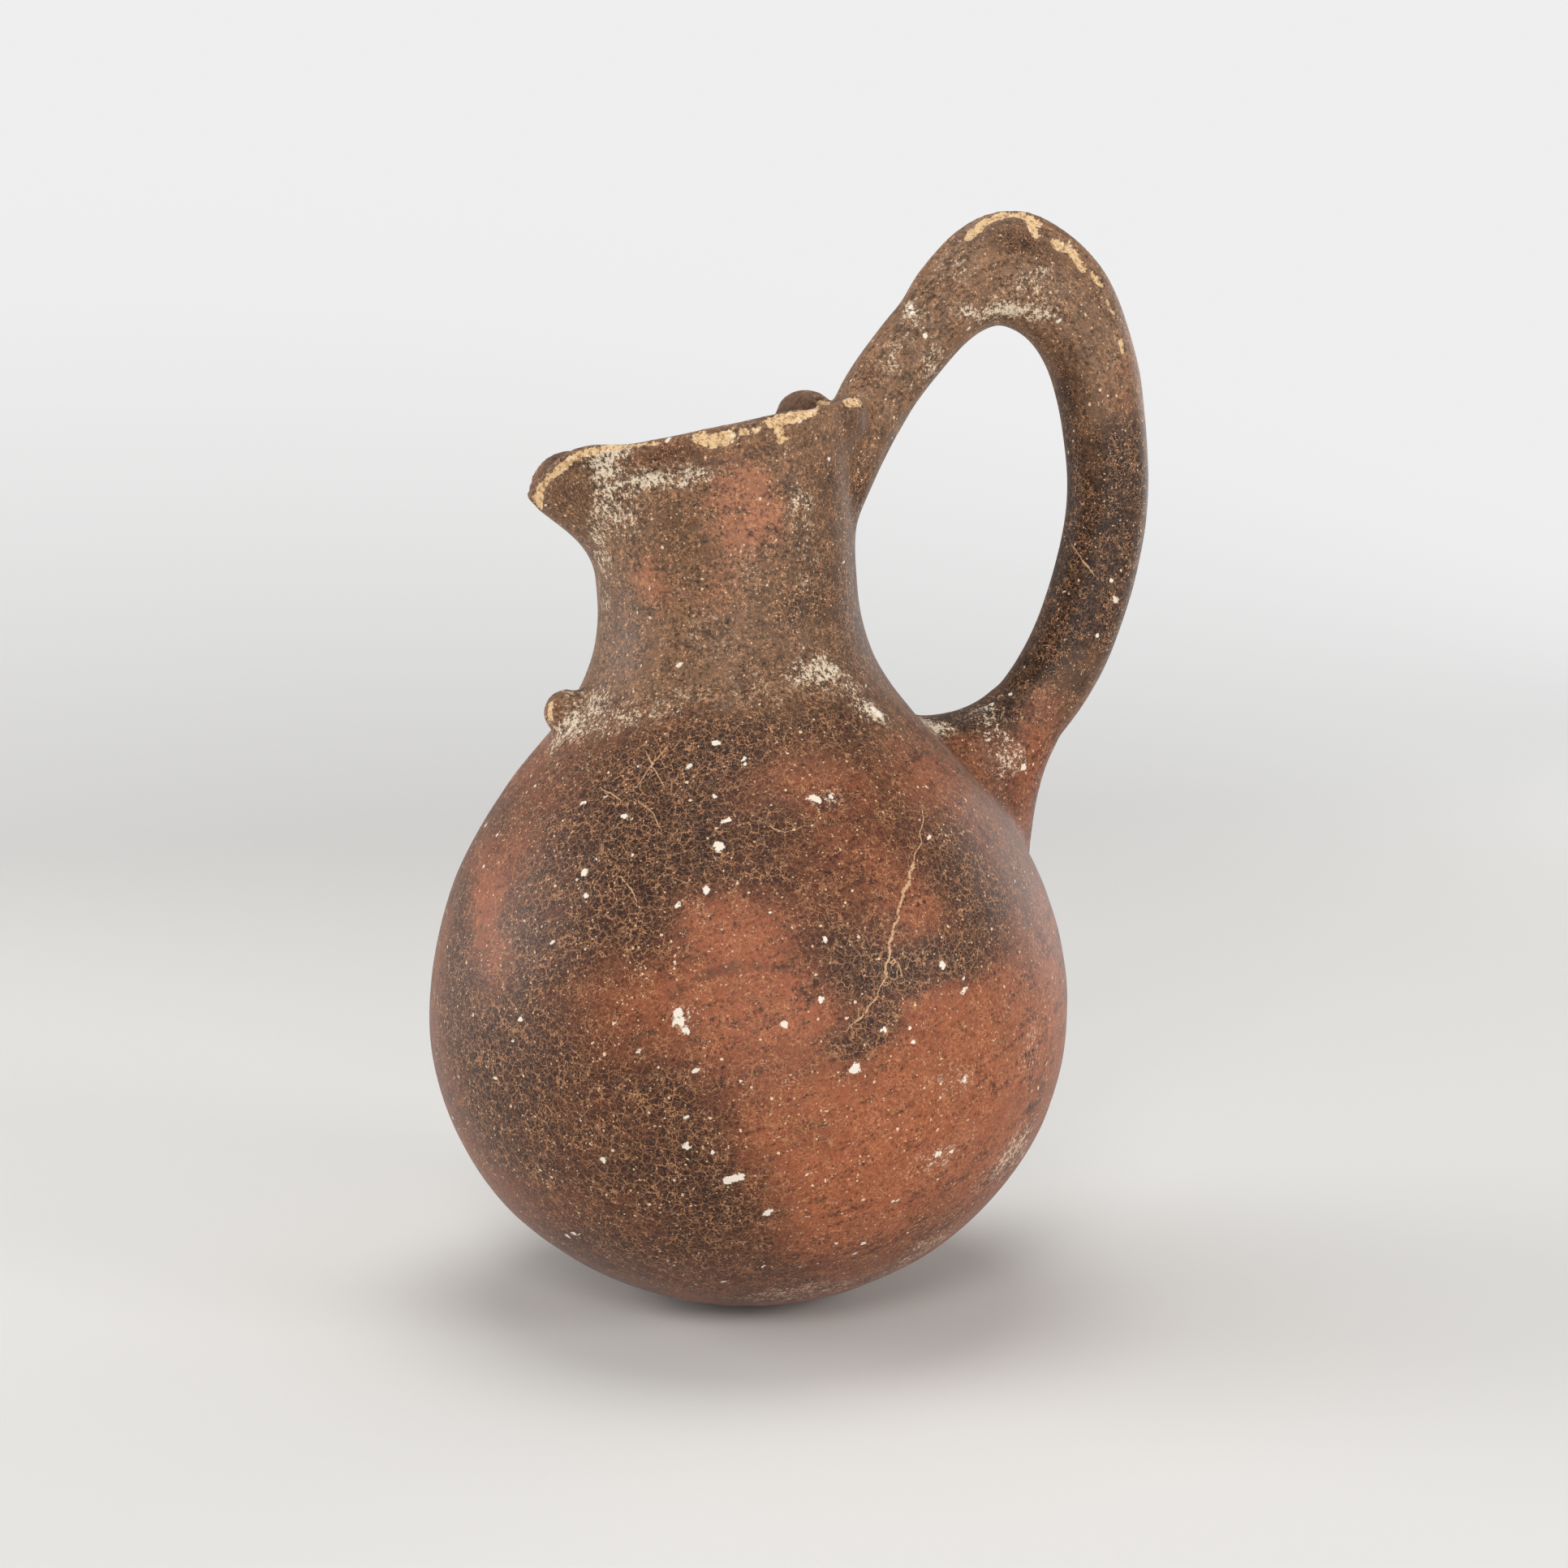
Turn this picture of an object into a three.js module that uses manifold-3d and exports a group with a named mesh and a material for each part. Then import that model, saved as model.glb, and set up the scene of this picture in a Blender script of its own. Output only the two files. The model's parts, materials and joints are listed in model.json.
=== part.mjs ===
// Hand-built wine jug: a round body, a leaning neck, a beaked spout and a tall loop handle.
// Millimetres, +Z up. The origin is the middle of the flat patch that the jug stands on.
// The spout points along -X and the handle along +X.
import * as THREE from 'three';
import { mergeVertices } from 'three/addons/utils/BufferGeometryUtils.js';
import Module from 'manifold-3d';

const wasm = await Module();
wasm.setup();

// Body
const bodyRadius = 63.65;
const bellyHeight = 57.3;
const footRadius = 14.5;
const shoulderRise = 64.4;
const bodyWall = 5;
const baseThickness = 9;

// Neck
const shoulderBreak = 88;
const shoulderSweep = 22;
const waistSweep = 23;
const waistRadius = 25.5;
const waistHeight = 140.5;
const neckWall = 4.6;
const neckLean = 6.05;
const leanTop = 172;

// Rim and spout
const rimHeight = 170.2;
const rimSlope = 0.175;
const rimFlare = 1.6;
const lipThickness = 4;
const lipRise = 1.2;
const spoutStart = 143.5;
const spoutPull = 10.3;
const spoutAngle = 21.5;
const spoutSquareness = 1.8;
const spoutDroop = 6.1;
const droopAngle = 9;

// Seams between the rolled and pressed clay parts
const neckSeam = 109;
const rimSeam = 139;
const lapHeight = 3.4;
const fit = 0.3;

// Handle: how far its bends lie from the back of the rim and from its foot on the shoulder
const handleFootHeight = 101;
const limbThickness = 15;
const crestPeak = 5.8;
const gripThickness = 18;
const footThickness = 15.8;
const limbWidth = 15.5;
const rootWidth = 17.8;
const crestWidth = 15;
const gripWidth = 16.5;
const crestReach = 32.6;
const crestRise = 26.6;
const gripReach = 29.5;
const gripRise = 61;
const elbowReach = 15;
const elbowRise = 16;
const heelSink = 10;
const tangRadius = 5.5;
const tangHead = 1.6;
const tangHidden = 9.6;

// Roll of clay around the foot of the handle
const collarBelow = 25.5;
const collarAbove = 20;
const collarWidth = 26;
const collarLip = 1.5;
const collarFlare = 2.2;

// Knob on the front of the neck, and the two ears beside the handle
const knobHeight = 117;
const knobRadius = 4.6;
const knobStandOff = 0.2;
const pegRadius = 1.6;
const pegDepth = 2.6;
const earRadius = 6.2;
const earDepth = 4.4;
const earAngle = 31;
const earSink = 1;
const nearEarRise = 4.2;
const farEarRise = 6.2;

// Facets
const roundSides = 44;
const rimSides = 52;
const handleSides = 14;
const handleRings = 40;
const frontCrowding = 0.42;

const lerp = THREE.MathUtils.lerp;
const smooth = THREE.MathUtils.smoothstep;
const lowerRise = bellyHeight / Math.sqrt(1 - (footRadius / bodyRadius) ** 2);

// Outline of the shoulder: from the round of the body up into the waist of the neck
function globeRadius(z) {
  const rise = z < bellyHeight ? lowerRise : shoulderRise;
  return bodyRadius * Math.sqrt(Math.max(0, 1 - ((z - bellyHeight) / rise) ** 2));
}

function shoulderCurve() {
  const start = new THREE.Vector2(globeRadius(shoulderBreak), shoulderBreak);
  const above = shoulderBreak - bellyHeight;
  const lean = -(bodyRadius ** 2 / shoulderRise ** 2) * above / start.x;
  const waist = new THREE.Vector2(waistRadius, waistHeight);
  return new THREE.CubicBezierCurve(
    start,
    new THREE.Vector2(start.x + lean * shoulderSweep, start.y + shoulderSweep),
    new THREE.Vector2(waist.x, waist.y - waistSweep),
    waist,
  );
}

const shoulder = shoulderCurve();

function shoulderRadius(z) {
  let low = 0;
  let high = 1;
  for (let step = 0; step < 40; step += 1) {
    const middle = (low + high) / 2;
    if (shoulder.getPoint(middle).y < z) {
      low = middle;
    } else {
      high = middle;
    }
  }
  return shoulder.getPoint(low).x;
}

function outerRadius(z) {
  if (z <= shoulderBreak) {
    return globeRadius(z);
  }
  if (z < waistHeight) {
    return shoulderRadius(z);
  }
  return waistRadius + rimFlare * smooth(z, waistHeight, rimHeight);
}

function wallAt(z) {
  const wall = lerp(bodyWall, neckWall, smooth(z, bellyHeight, waistHeight));
  return lerp(wall, lipThickness, smooth(z, waistHeight, rimHeight));
}

// The inside follows the outside at one wall's distance, measured square to it
function innerRadius(z) {
  if (z < bellyHeight) {
    const depth = (bellyHeight - z) / (bellyHeight - baseThickness);
    return (bodyRadius - bodyWall) * Math.sqrt(Math.max(0, 1 - depth ** 2));
  }
  const slope = outerRadius(z + 0.5) - outerRadius(z - 0.5);
  return outerRadius(z) - wallAt(z) * Math.hypot(1, slope);
}

// Where two parts lap, this cylinder parts them
function lapRadius(seam) {
  return (innerRadius(seam) + outerRadius(seam + lapHeight)) / 2;
}

function heights(from, to, count) {
  return Array.from({ length: count + 1 }, (_, i) => lerp(from, to, i / count));
}

// Heights that keep an arc round: close together near the pole
function bowlHeights(pole, rim, first, count) {
  const start = Math.acos((rim - first) / (rim - pole));
  return heights(start, Math.PI / 2, count).map((turn) => rim - (rim - pole) * Math.cos(turn));
}

function outside(list, grow = 0) {
  return list.map((z) => new THREE.Vector2(outerRadius(z) + grow, z));
}

function inside(list, grow = 0) {
  return list.map((z) => new THREE.Vector2(innerRadius(z) - grow, z)).reverse();
}

// A step at the foot of a part, which sits over the tongue of the part below
function socketFoot(seam) {
  const step = lapRadius(seam) + fit;
  const roof = seam + lapHeight + fit;
  return [new THREE.Vector2(step, roof), new THREE.Vector2(step, seam)];
}

// A tongue at the head of a part
function tongueHead(seam) {
  const step = lapRadius(seam);
  return [new THREE.Vector2(step, seam), new THREE.Vector2(step, seam + lapHeight)];
}

function lip(grow = 0) {
  const outer = outerRadius(rimHeight) + grow;
  const inner = innerRadius(rimHeight) - grow;
  const middle = (outer + inner) / 2;
  const reach = (outer - inner) / 2;
  const arc = new THREE.EllipseCurve(middle, rimHeight, reach, lipRise + grow / 2, 0, Math.PI);
  return arc.getPoints(6);
}

// The potter's hand on the round jug: the neck leans to the front, the rim tips and the spout is drawn out
function drawOut(geometry) {
  const place = geometry.attributes.position;
  for (let i = 0; i < place.count; i += 1) {
    const x = place.getX(i);
    const y = place.getY(i);
    const z = place.getZ(i);
    const turn = THREE.MathUtils.radToDeg(Math.abs(Math.atan2(y, -x)));
    const share = Math.max(0, (z - spoutStart) / (rimHeight - spoutStart));
    const ring = Math.hypot(x, y);
    const reach = Math.min(1, ring / waistRadius);
    const beak = Math.exp(-((turn / spoutAngle) ** spoutSquareness));
    const pull = reach * spoutPull * beak * smooth(share, 0, 0.9);
    const scale = ring > 0 ? (ring + pull) / ring : 1;
    const droop = reach * spoutDroop * Math.exp(-((turn / droopAngle) ** 2)) * share ** 2;
    const shift = neckLean * smooth(z, shoulderBreak, leanTop);
    place.setXYZ(i, x * scale - shift, y * scale, z + share * rimSlope * x * scale - droop);
  }
  return geometry;
}

// Vertices drawn closer together round the spout
function crowdFront(geometry) {
  const place = geometry.attributes.position;
  for (let i = 0; i < place.count; i += 1) {
    const ring = Math.hypot(place.getX(i), place.getY(i));
    const turn = Math.atan2(place.getY(i), -place.getX(i));
    const moved = turn - frontCrowding * Math.sin(turn);
    place.setXYZ(i, -ring * Math.cos(moved), ring * Math.sin(moved), place.getZ(i));
  }
  return geometry;
}

// One skin: shared vertices joined, triangles with no area left out
function weld(geometry) {
  const bare = geometry.clone();
  bare.deleteAttribute('normal');
  bare.deleteAttribute('uv');
  const joined = mergeVertices(bare, 0.001);
  const corners = joined.index.array;
  const kept = [];
  for (let i = 0; i < corners.length; i += 3) {
    const [a, b, c] = corners.slice(i, i + 3);
    if (a !== b && b !== c && c !== a) {
      kept.push(a, b, c);
    }
  }
  joined.setIndex(kept);
  return joined;
}

function turned(profile, sides) {
  const geometry = new THREE.LatheGeometry(profile, sides);
  geometry.rotateX(Math.PI / 2);
  return geometry;
}

function solid(geometry) {
  const joined = weld(geometry);
  return new wasm.Manifold(new wasm.Mesh({
    numProp: 3,
    vertProperties: new Float32Array(joined.attributes.position.array),
    triVerts: new Uint32Array(joined.index.array),
  }));
}

function skin(body) {
  const mesh = body.getMesh();
  const geometry = new THREE.BufferGeometry();
  geometry.setAttribute('position', new THREE.BufferAttribute(mesh.vertProperties, 3));
  geometry.setIndex(new THREE.BufferAttribute(mesh.triVerts, 1));
  geometry.computeVertexNormals();
  return geometry;
}

// The whole jug as if it were filled, a little larger: it cuts the seat of whatever is stuck on
function filledJug(grow) {
  const top = lip(grow).slice(0, 4);
  const profile = [
    new THREE.Vector2(0, -grow),
    new THREE.Vector2(footRadius, -grow),
    ...outside(bowlHeights(bellyHeight - lowerRise, bellyHeight, 0, 12).slice(1), grow),
    ...outside(heights(bellyHeight, neckSeam, 10).slice(1), grow),
    ...outside(heights(neckSeam, spoutStart, 12).slice(1), grow),
    ...outside(heights(spoutStart, rimHeight, 7).slice(1, -1), grow),
    ...top.map((point) => new THREE.Vector2(point.x, point.y + grow)),
    new THREE.Vector2(0, top.at(-1).y + grow),
  ];
  return solid(drawOut(crowdFront(turned(profile, rimSides))));
}

// Handle
function shoulderPoint(z) {
  const shift = neckLean * smooth(z, shoulderBreak, leanTop);
  return new THREE.Vector3(outerRadius(z) - shift, 0, z);
}

const rimBack = new THREE.Vector3(
  outerRadius(rimHeight) - neckLean,
  0,
  rimHeight + rimSlope * outerRadius(rimHeight),
);
const handleFoot = shoulderPoint(handleFootHeight);

function from(point, dx, dz) {
  return new THREE.Vector3(point.x + dx, 0, point.z + dz);
}

function bends(point, steps) {
  return steps.map(([dx, dz]) => from(point, dx, dz));
}

const footBends = bends(handleFoot, [[elbowReach, elbowRise], [0, 0], [-heelSink, -heelSink]]);

// From inside the neck up to the crest, round the grip and down into the shoulder
const handleLine = new THREE.CatmullRomCurve3([
  ...bends(rimBack, [[-8.2, -27], [4.7, 1.1], [11.6, 11]]),
  ...bends(from(rimBack, crestReach, crestRise), [[-9, -3.1], [0, 0], [10.6, -4.1], [17.6, -14.6]]),
  ...bends(from(handleFoot, gripReach, gripRise), [[0, 0], [-1.2, -15], [-7.6, -34.7]]),
  ...footBends,
]);

// Stations along the handle: share of the way, thickness, the outer side's peak beyond it,
// width along Y, and how far the outer side is pinched to a ridge
const stations = [
  [0, limbThickness, 0, rootWidth, 0],
  [0.25, limbThickness, 0, limbWidth, 0.2],
  [0.3, lerp(limbThickness, gripThickness, 0.5), crestPeak * 0.3, limbWidth, 0.35],
  [0.35, gripThickness, crestPeak, crestWidth, 0.45],
  [0.41, gripThickness, crestPeak * 0.6, crestWidth, 0.35],
  [0.48, gripThickness, crestPeak * 0.15, gripWidth, 0.1],
  [0.6, gripThickness, 0, gripWidth, 0],
  [0.78, footThickness, 0, gripWidth, 0],
  [1, footThickness, 0, gripWidth, 0],
];

function stationAt(share) {
  const right = Math.max(1, stations.findIndex(([start]) => start >= share));
  const low = stations[right - 1];
  const high = stations[right];
  const part = (share - low[0]) / (high[0] - low[0]);
  return low.map((value, i) => lerp(value, high[i], part));
}

// A rolled coil bent along a line, its section given by a function of the share of the way along
function coil(line, rings, section) {
  const geometry = new THREE.CylinderGeometry(1, 1, 1, handleSides, rings);
  const place = geometry.attributes.position;
  for (let i = 0; i < place.count; i += 1) {
    const share = THREE.MathUtils.clamp(0.5 - place.getY(i), 0, 1);
    const centre = line.getPointAt(share);
    const along = line.getTangentAt(share);
    const outward = new THREE.Vector3(-along.z, 0, along.x);
    const size = section(share);
    const across = place.getX(i);
    const sideways = -place.getZ(i);
    const narrow = 1 - (size.pinch ?? 0) * Math.max(0, across) ** 2;
    centre.addScaledVector(outward, across * (across > 0 ? size.outer : size.inner));
    place.setXYZ(i, centre.x, sideways * size.side * narrow, centre.z);
  }
  return geometry;
}

function handleSection(grow) {
  return (share) => {
    const [, thickness, peak, width, pinch] = stationAt(share);
    const inner = thickness / 2 + grow;
    return { outer: inner + peak, inner, side: width / 2 + grow, pinch };
  };
}

function handleCoil(grow) {
  return solid(coil(handleLine, handleRings, handleSection(grow)));
}

// The tang runs on from the foot of the handle, through the shoulder
function tang(grow) {
  const along = footBends[2].clone().sub(footBends[1]).normalize();
  const through = bodyWall * 1.25 + tangHead;
  const length = tangHidden + through;
  const geometry = new THREE.CylinderGeometry(tangRadius + grow, tangRadius + grow, length, 18);
  geometry.rotateX(Math.PI / 2);
  geometry.translate(0, 0, (through - tangHidden) / 2);
  geometry.applyQuaternion(new THREE.Quaternion().setFromUnitVectors(new THREE.Vector3(0, 0, 1), along));
  geometry.translate(handleFoot.x, handleFoot.y, handleFoot.z);
  return solid(geometry);
}

function handle() {
  return handleCoil(0).subtract(filledJug(fit)).add(tang(0));
}

function collar() {
  const line = new THREE.CatmullRomCurve3(footBends);
  const top = footThickness / 2 + fit + collarLip;
  const flare = (share) => Math.min(1, share / 0.8) ** collarFlare;
  const roll = coil(line, 10, (share) => ({
    outer: lerp(top, collarBelow, flare(share)),
    inner: lerp(top, collarAbove, flare(share)),
    side: lerp(gripWidth / 2 + fit + collarLip, collarWidth / 2, flare(share)),
  }));
  return solid(roll).subtract(handleCoil(fit)).subtract(filledJug(fit));
}

// Knob with a peg into the neck
function knobSeat() {
  const seat = shoulderPoint(knobHeight);
  const shift = neckLean * smooth(knobHeight, shoulderBreak, leanTop);
  return new THREE.Vector3(-seat.x - 2 * shift, 0, seat.z);
}

function peg(grow) {
  const seat = knobSeat();
  const length = pegDepth + grow + knobRadius;
  const geometry = new THREE.CylinderGeometry(pegRadius + grow, pegRadius + grow, length, 16);
  geometry.rotateZ(Math.PI / 2);
  geometry.translate(seat.x + pegDepth + grow - length / 2, 0, seat.z);
  return solid(geometry);
}

function pellet(rx, ry, rz, x, y, z, turn = 0) {
  const geometry = new THREE.SphereGeometry(1, 16, 10);
  geometry.rotateX(Math.PI / 2);
  geometry.scale(rx, ry, rz);
  geometry.rotateZ(turn);
  geometry.translate(x, y, z);
  return solid(geometry);
}

function knob() {
  const seat = knobSeat();
  const ball = pellet(knobRadius, knobRadius, knobRadius, seat.x - knobStandOff, 0, seat.z);
  return ball.subtract(filledJug(fit)).add(peg(0));
}

function ear(side, rise) {
  const turn = THREE.MathUtils.degToRad(earAngle);
  const ring = outerRadius(rimHeight) - earSink;
  const x = ring * Math.cos(turn);
  const top = rimHeight + rimSlope * x + rise;
  const y = side * ring * Math.sin(turn);
  const ball = pellet(earDepth, earRadius, earRadius, x - neckLean, y, top - earRadius, side * turn);
  return ball.subtract(filledJug(fit)).subtract(handleCoil(fit));
}

// Wall parts of the jug
function bodyLower() {
  const profile = [
    new THREE.Vector2(0, 0),
    ...outside(bowlHeights(bellyHeight - lowerRise, bellyHeight, 0, 11)),
    ...tongueHead(bellyHeight),
    ...inside(heights(bellyHeight, bellyHeight + lapHeight, 1)),
    ...inside(bowlHeights(baseThickness, bellyHeight, baseThickness, 9).slice(0, -1)),
  ];
  return turned(profile, roundSides);
}

// The holes that the handle's tang and the knob's peg pass through
function pierced(shell) {
  return shell.subtract(tang(fit)).subtract(peg(fit));
}

function shellPart(low, high, rows) {
  return [
    ...outside(heights(low, high, rows)),
    ...tongueHead(high),
    ...inside(heights(low + lapHeight + fit, high + lapHeight, rows)),
    ...socketFoot(low),
    new THREE.Vector2(outerRadius(low), low),
  ];
}

function bodyUpper() {
  return pierced(solid(drawOut(turned(shellPart(bellyHeight, neckSeam, 9), roundSides))));
}

function neck() {
  return pierced(solid(drawOut(turned(shellPart(neckSeam, rimSeam, 8), roundSides))));
}

function rimSpout() {
  const profile = [
    ...outside(heights(rimSeam, spoutStart, 1)),
    ...outside(heights(spoutStart, rimHeight, 7).slice(1, -1)),
    ...lip(),
    ...inside(heights(rimSeam + lapHeight + fit, rimHeight, 7).slice(0, -1)),
    ...socketFoot(rimSeam),
    new THREE.Vector2(outerRadius(rimSeam), rimSeam),
  ];
  return drawOut(crowdFront(turned(profile, rimSides)));
}

// Assembly
const group = new THREE.Group();

function addPart(name, geometry, color, roughness) {
  const material = new THREE.MeshStandardMaterial({ color, roughness, metalness: 0 });
  const mesh = new THREE.Mesh(geometry, material);
  mesh.name = name;
  group.add(mesh);
}

addPart('body_lower', weld(bodyLower()), 0x7a3a22, 0.55);
addPart('body_upper', skin(bodyUpper()), 0x5a3326, 0.55);
addPart('neck', skin(neck()), 0x66493a, 0.65);
addPart('rim_spout', weld(rimSpout()), 0x6e4636, 0.62);
addPart('handle', skin(handle()), 0x6b4a3a, 0.6);
addPart('handle_root_collar', skin(collar()), 0x7d4030, 0.6);
addPart('front_knob', skin(knob()), 0x9a5a34, 0.7);
addPart('near_ear', skin(ear(-1, nearEarRise)), 0x6b4232, 0.65);
addPart('far_ear', skin(ear(1, farEarRise)), 0x5f5048, 0.65);

export default group;
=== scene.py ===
# %% [markdown]
# # A hand-built wine jug
# This scene dresses a jug of fired clay: a round body, a leaning neck, a beaked spout and a
# tall loop handle. The potter built it from parts that were pressed together while wet, so
# here the parts are modelled one by one, fused into one skin, and then cut at the old seams.
# Sizes are in millimetres and are turned into metres where Blender needs them.

# %% Start
import json
import math

import bpy
import numpy as np
from mathutils import Matrix, Vector, noise
from mathutils.bvhtree import BVHTree
from mathutils.kdtree import KDTree

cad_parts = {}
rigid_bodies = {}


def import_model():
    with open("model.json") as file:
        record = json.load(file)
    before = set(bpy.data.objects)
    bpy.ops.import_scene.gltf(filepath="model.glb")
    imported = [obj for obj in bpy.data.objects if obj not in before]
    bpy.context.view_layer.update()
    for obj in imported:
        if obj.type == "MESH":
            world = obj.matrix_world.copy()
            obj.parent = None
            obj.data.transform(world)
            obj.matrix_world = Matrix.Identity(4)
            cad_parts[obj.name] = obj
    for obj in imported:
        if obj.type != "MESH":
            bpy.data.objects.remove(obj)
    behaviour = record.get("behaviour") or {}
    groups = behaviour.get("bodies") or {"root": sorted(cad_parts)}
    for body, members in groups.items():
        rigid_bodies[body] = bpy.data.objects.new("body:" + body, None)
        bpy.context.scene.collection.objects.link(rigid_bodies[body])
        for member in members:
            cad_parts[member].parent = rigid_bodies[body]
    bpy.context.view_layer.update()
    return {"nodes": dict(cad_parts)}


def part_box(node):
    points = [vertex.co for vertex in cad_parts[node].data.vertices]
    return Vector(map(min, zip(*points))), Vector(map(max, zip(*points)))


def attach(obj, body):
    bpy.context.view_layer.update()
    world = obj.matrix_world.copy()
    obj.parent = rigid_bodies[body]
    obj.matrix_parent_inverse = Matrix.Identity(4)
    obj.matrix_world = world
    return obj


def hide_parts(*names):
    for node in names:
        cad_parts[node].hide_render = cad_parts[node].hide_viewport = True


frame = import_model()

MM = 0.001
print("frame nodes:", sorted(frame["nodes"]))

# %% [markdown]
# ## The camera
# The camera stands where the photographer stood: a little to the left of the jug's side and
# slightly above it. It is made first, because marks on the clay are placed by looking through
# it. `seen` sends a ray through a point of the photograph, which is 1932 points wide and high.

# %% Camera
PHOTO_SIDE = 1932
CAMERA_TURN = math.radians(-17)
CAMERA_RISE = math.radians(6.6)
CAMERA_DISTANCE = 518
CAMERA_TARGET = Vector((7.52, 0, 101.55))
FOCAL_POINTS = 3201.5
SENSOR = 36

camera_back = Vector((
    math.sin(CAMERA_TURN) * math.cos(CAMERA_RISE),
    -math.cos(CAMERA_TURN) * math.cos(CAMERA_RISE),
    math.sin(CAMERA_RISE),
))
camera_right = Vector((math.cos(CAMERA_TURN), math.sin(CAMERA_TURN), 0))
camera_up = camera_back.cross(camera_right)
camera_place = CAMERA_TARGET + camera_back * CAMERA_DISTANCE

bpy.ops.object.camera_add()
camera = bpy.context.object
camera.name = "photo_camera"
camera.data.sensor_width = SENSOR
camera.data.lens = FOCAL_POINTS / PHOTO_SIDE * SENSOR
axes = Matrix((camera_right, camera_up, camera_back)).transposed()
camera.matrix_world = Matrix.Translation(camera_place * MM) @ axes.to_4x4()
bpy.context.scene.camera = camera


def ray_through(across, down):
    half = PHOTO_SIDE / 2
    aim = camera_right * (across - half) - camera_up * (down - half) - camera_back * FOCAL_POINTS
    return aim.normalized()


print("camera at", [round(value, 1) for value in camera_place], "mm")

# %% [markdown]
# ## The outline of the jug
# A pot that grows from the foot up can be described by its radius at each height. Below the
# shoulder it is nearly a ball; above it a smooth curve runs up into the waist of the neck.
# The same sizes shaped the solid parts, so the skin fits them without any measuring.

# %% Sizes of the pot
belly_radius, belly_height, foot_radius, shoulder_rise = 63.65, 57.3, 14.5, 64.4
body_wall, base_thickness, neck_wall, lip_thickness, lip_rise = 5, 9, 4.6, 4, 1.2
shoulder_break, shoulder_sweep, waist_sweep = 88, 22, 23
waist_radius, waist_height = 25.5, 140.5
neck_lean, lean_top = 6.05, 172
rim_height, rim_slope, rim_flare = 170.2, 0.175, 1.6
spout_start, spout_pull, spout_angle, spout_squareness = 143.5, 10.3, 21.5, 1.8
spout_droop, droop_angle = 6.1, 9
lower_rise = belly_height / math.sqrt(1 - (foot_radius / belly_radius) ** 2)


def ease(value, start, end):
    share = min(1, max(0, (value - start) / (end - start)))
    return share * share * (3 - 2 * share)


def blend_sizes(low, high, share):
    return low + (high - low) * share


def globe_radius(z):
    rise = lower_rise if z < belly_height else shoulder_rise
    return belly_radius * math.sqrt(max(0, 1 - ((z - belly_height) / rise) ** 2))


def shoulder_points():
    start = globe_radius(shoulder_break)
    lean = -(belly_radius ** 2 / shoulder_rise ** 2) * (shoulder_break - belly_height) / start
    return (
        Vector((start, shoulder_break)),
        Vector((start + lean * shoulder_sweep, shoulder_break + shoulder_sweep)),
        Vector((waist_radius, waist_height - waist_sweep)),
        Vector((waist_radius, waist_height)),
    )


def on_curve(points, share):
    a, b, c, d = points
    rest = 1 - share
    return a * rest ** 3 + b * 3 * rest ** 2 * share + c * 3 * rest * share ** 2 + d * share ** 3


CURVE_STEPS = 200
shoulder_curve = [
    on_curve(shoulder_points(), step / CURVE_STEPS) for step in range(CURVE_STEPS + 1)]
shoulder_z = np.array([point.y for point in shoulder_curve])
shoulder_r = np.array([point.x for point in shoulder_curve])


def outer_radius(z):
    if z <= shoulder_break:
        return globe_radius(z)
    if z < waist_height:
        return float(np.interp(z, shoulder_z, shoulder_r))
    return waist_radius + rim_flare * ease(z, waist_height, rim_height)


def wall_at(z):
    wall = blend_sizes(body_wall, neck_wall, ease(z, belly_height, waist_height))
    return blend_sizes(wall, lip_thickness, ease(z, waist_height, rim_height))


def inner_radius(z):
    if z < belly_height:
        depth = (belly_height - z) / (belly_height - base_thickness)
        return (belly_radius - body_wall) * math.sqrt(max(0, 1 - depth ** 2))
    slope = outer_radius(z + 0.5) - outer_radius(z - 0.5)
    return outer_radius(z) - wall_at(z) * math.hypot(1, slope)


print("belly", round(outer_radius(60), 1), "waist", round(outer_radius(140), 1), "mm in radius")

# %% [markdown]
# ## Small helpers for modelling
# Every operator works on what is selected. So each piece starts with nothing selected, and
# after each step the script chooses edges or faces by their place, as a hand would click them.

# %% Modelling helpers
def deselect_all():
    if bpy.context.object and bpy.context.object.mode == "EDIT":
        bpy.ops.object.mode_set(mode="OBJECT")
    bpy.ops.object.select_all(action="DESELECT")


def take_up(piece):
    deselect_all()
    piece.select_set(True)
    bpy.context.view_layer.objects.active = piece


def edit(piece, choose="", by=""):
    """Opens a piece for modelling; choose is SELECT or DESELECT, by is VERT or EDGE."""
    take_up(piece)
    bpy.ops.object.mode_set(mode="EDIT")
    if by:
        bpy.ops.mesh.select_mode(type=by)
    if choose:
        bpy.ops.mesh.select_all(action=choose)


def leave_edit():
    bpy.ops.object.mode_set(mode="OBJECT")
    return bpy.context.object


def settle(piece):
    """Puts the piece's place into its mesh, so that the object sits at the origin."""
    take_up(piece)
    bpy.ops.object.transform_apply(location=True, rotation=True, scale=True)
    return piece


def apply_modifier(piece, kind, **settings):
    take_up(piece)
    modifier = piece.modifiers.new(kind.lower(), kind)
    for name, value in settings.items():
        setattr(modifier, name, value)
    bpy.ops.object.modifier_apply(modifier=modifier.name)
    return piece


def read(rows, name, kind=float, width=1):
    """The named value of every point, edge, face or corner, as an array."""
    flat = np.empty(len(rows) * width, kind)
    rows.foreach_get(name, flat)
    return flat.reshape(-1, width) if width > 1 else flat


def places(mesh):
    return read(mesh.vertices, "co", width=3) / MM


def move_to(mesh, points):
    mesh.vertices.foreach_set("co", (points * MM).ravel())
    mesh.update()


def smooth_steps(values, start, end):
    share = np.clip((values - start) / (end - start), 0, 1)
    return share * share * (3 - 2 * share)


print("helpers ready")

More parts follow.
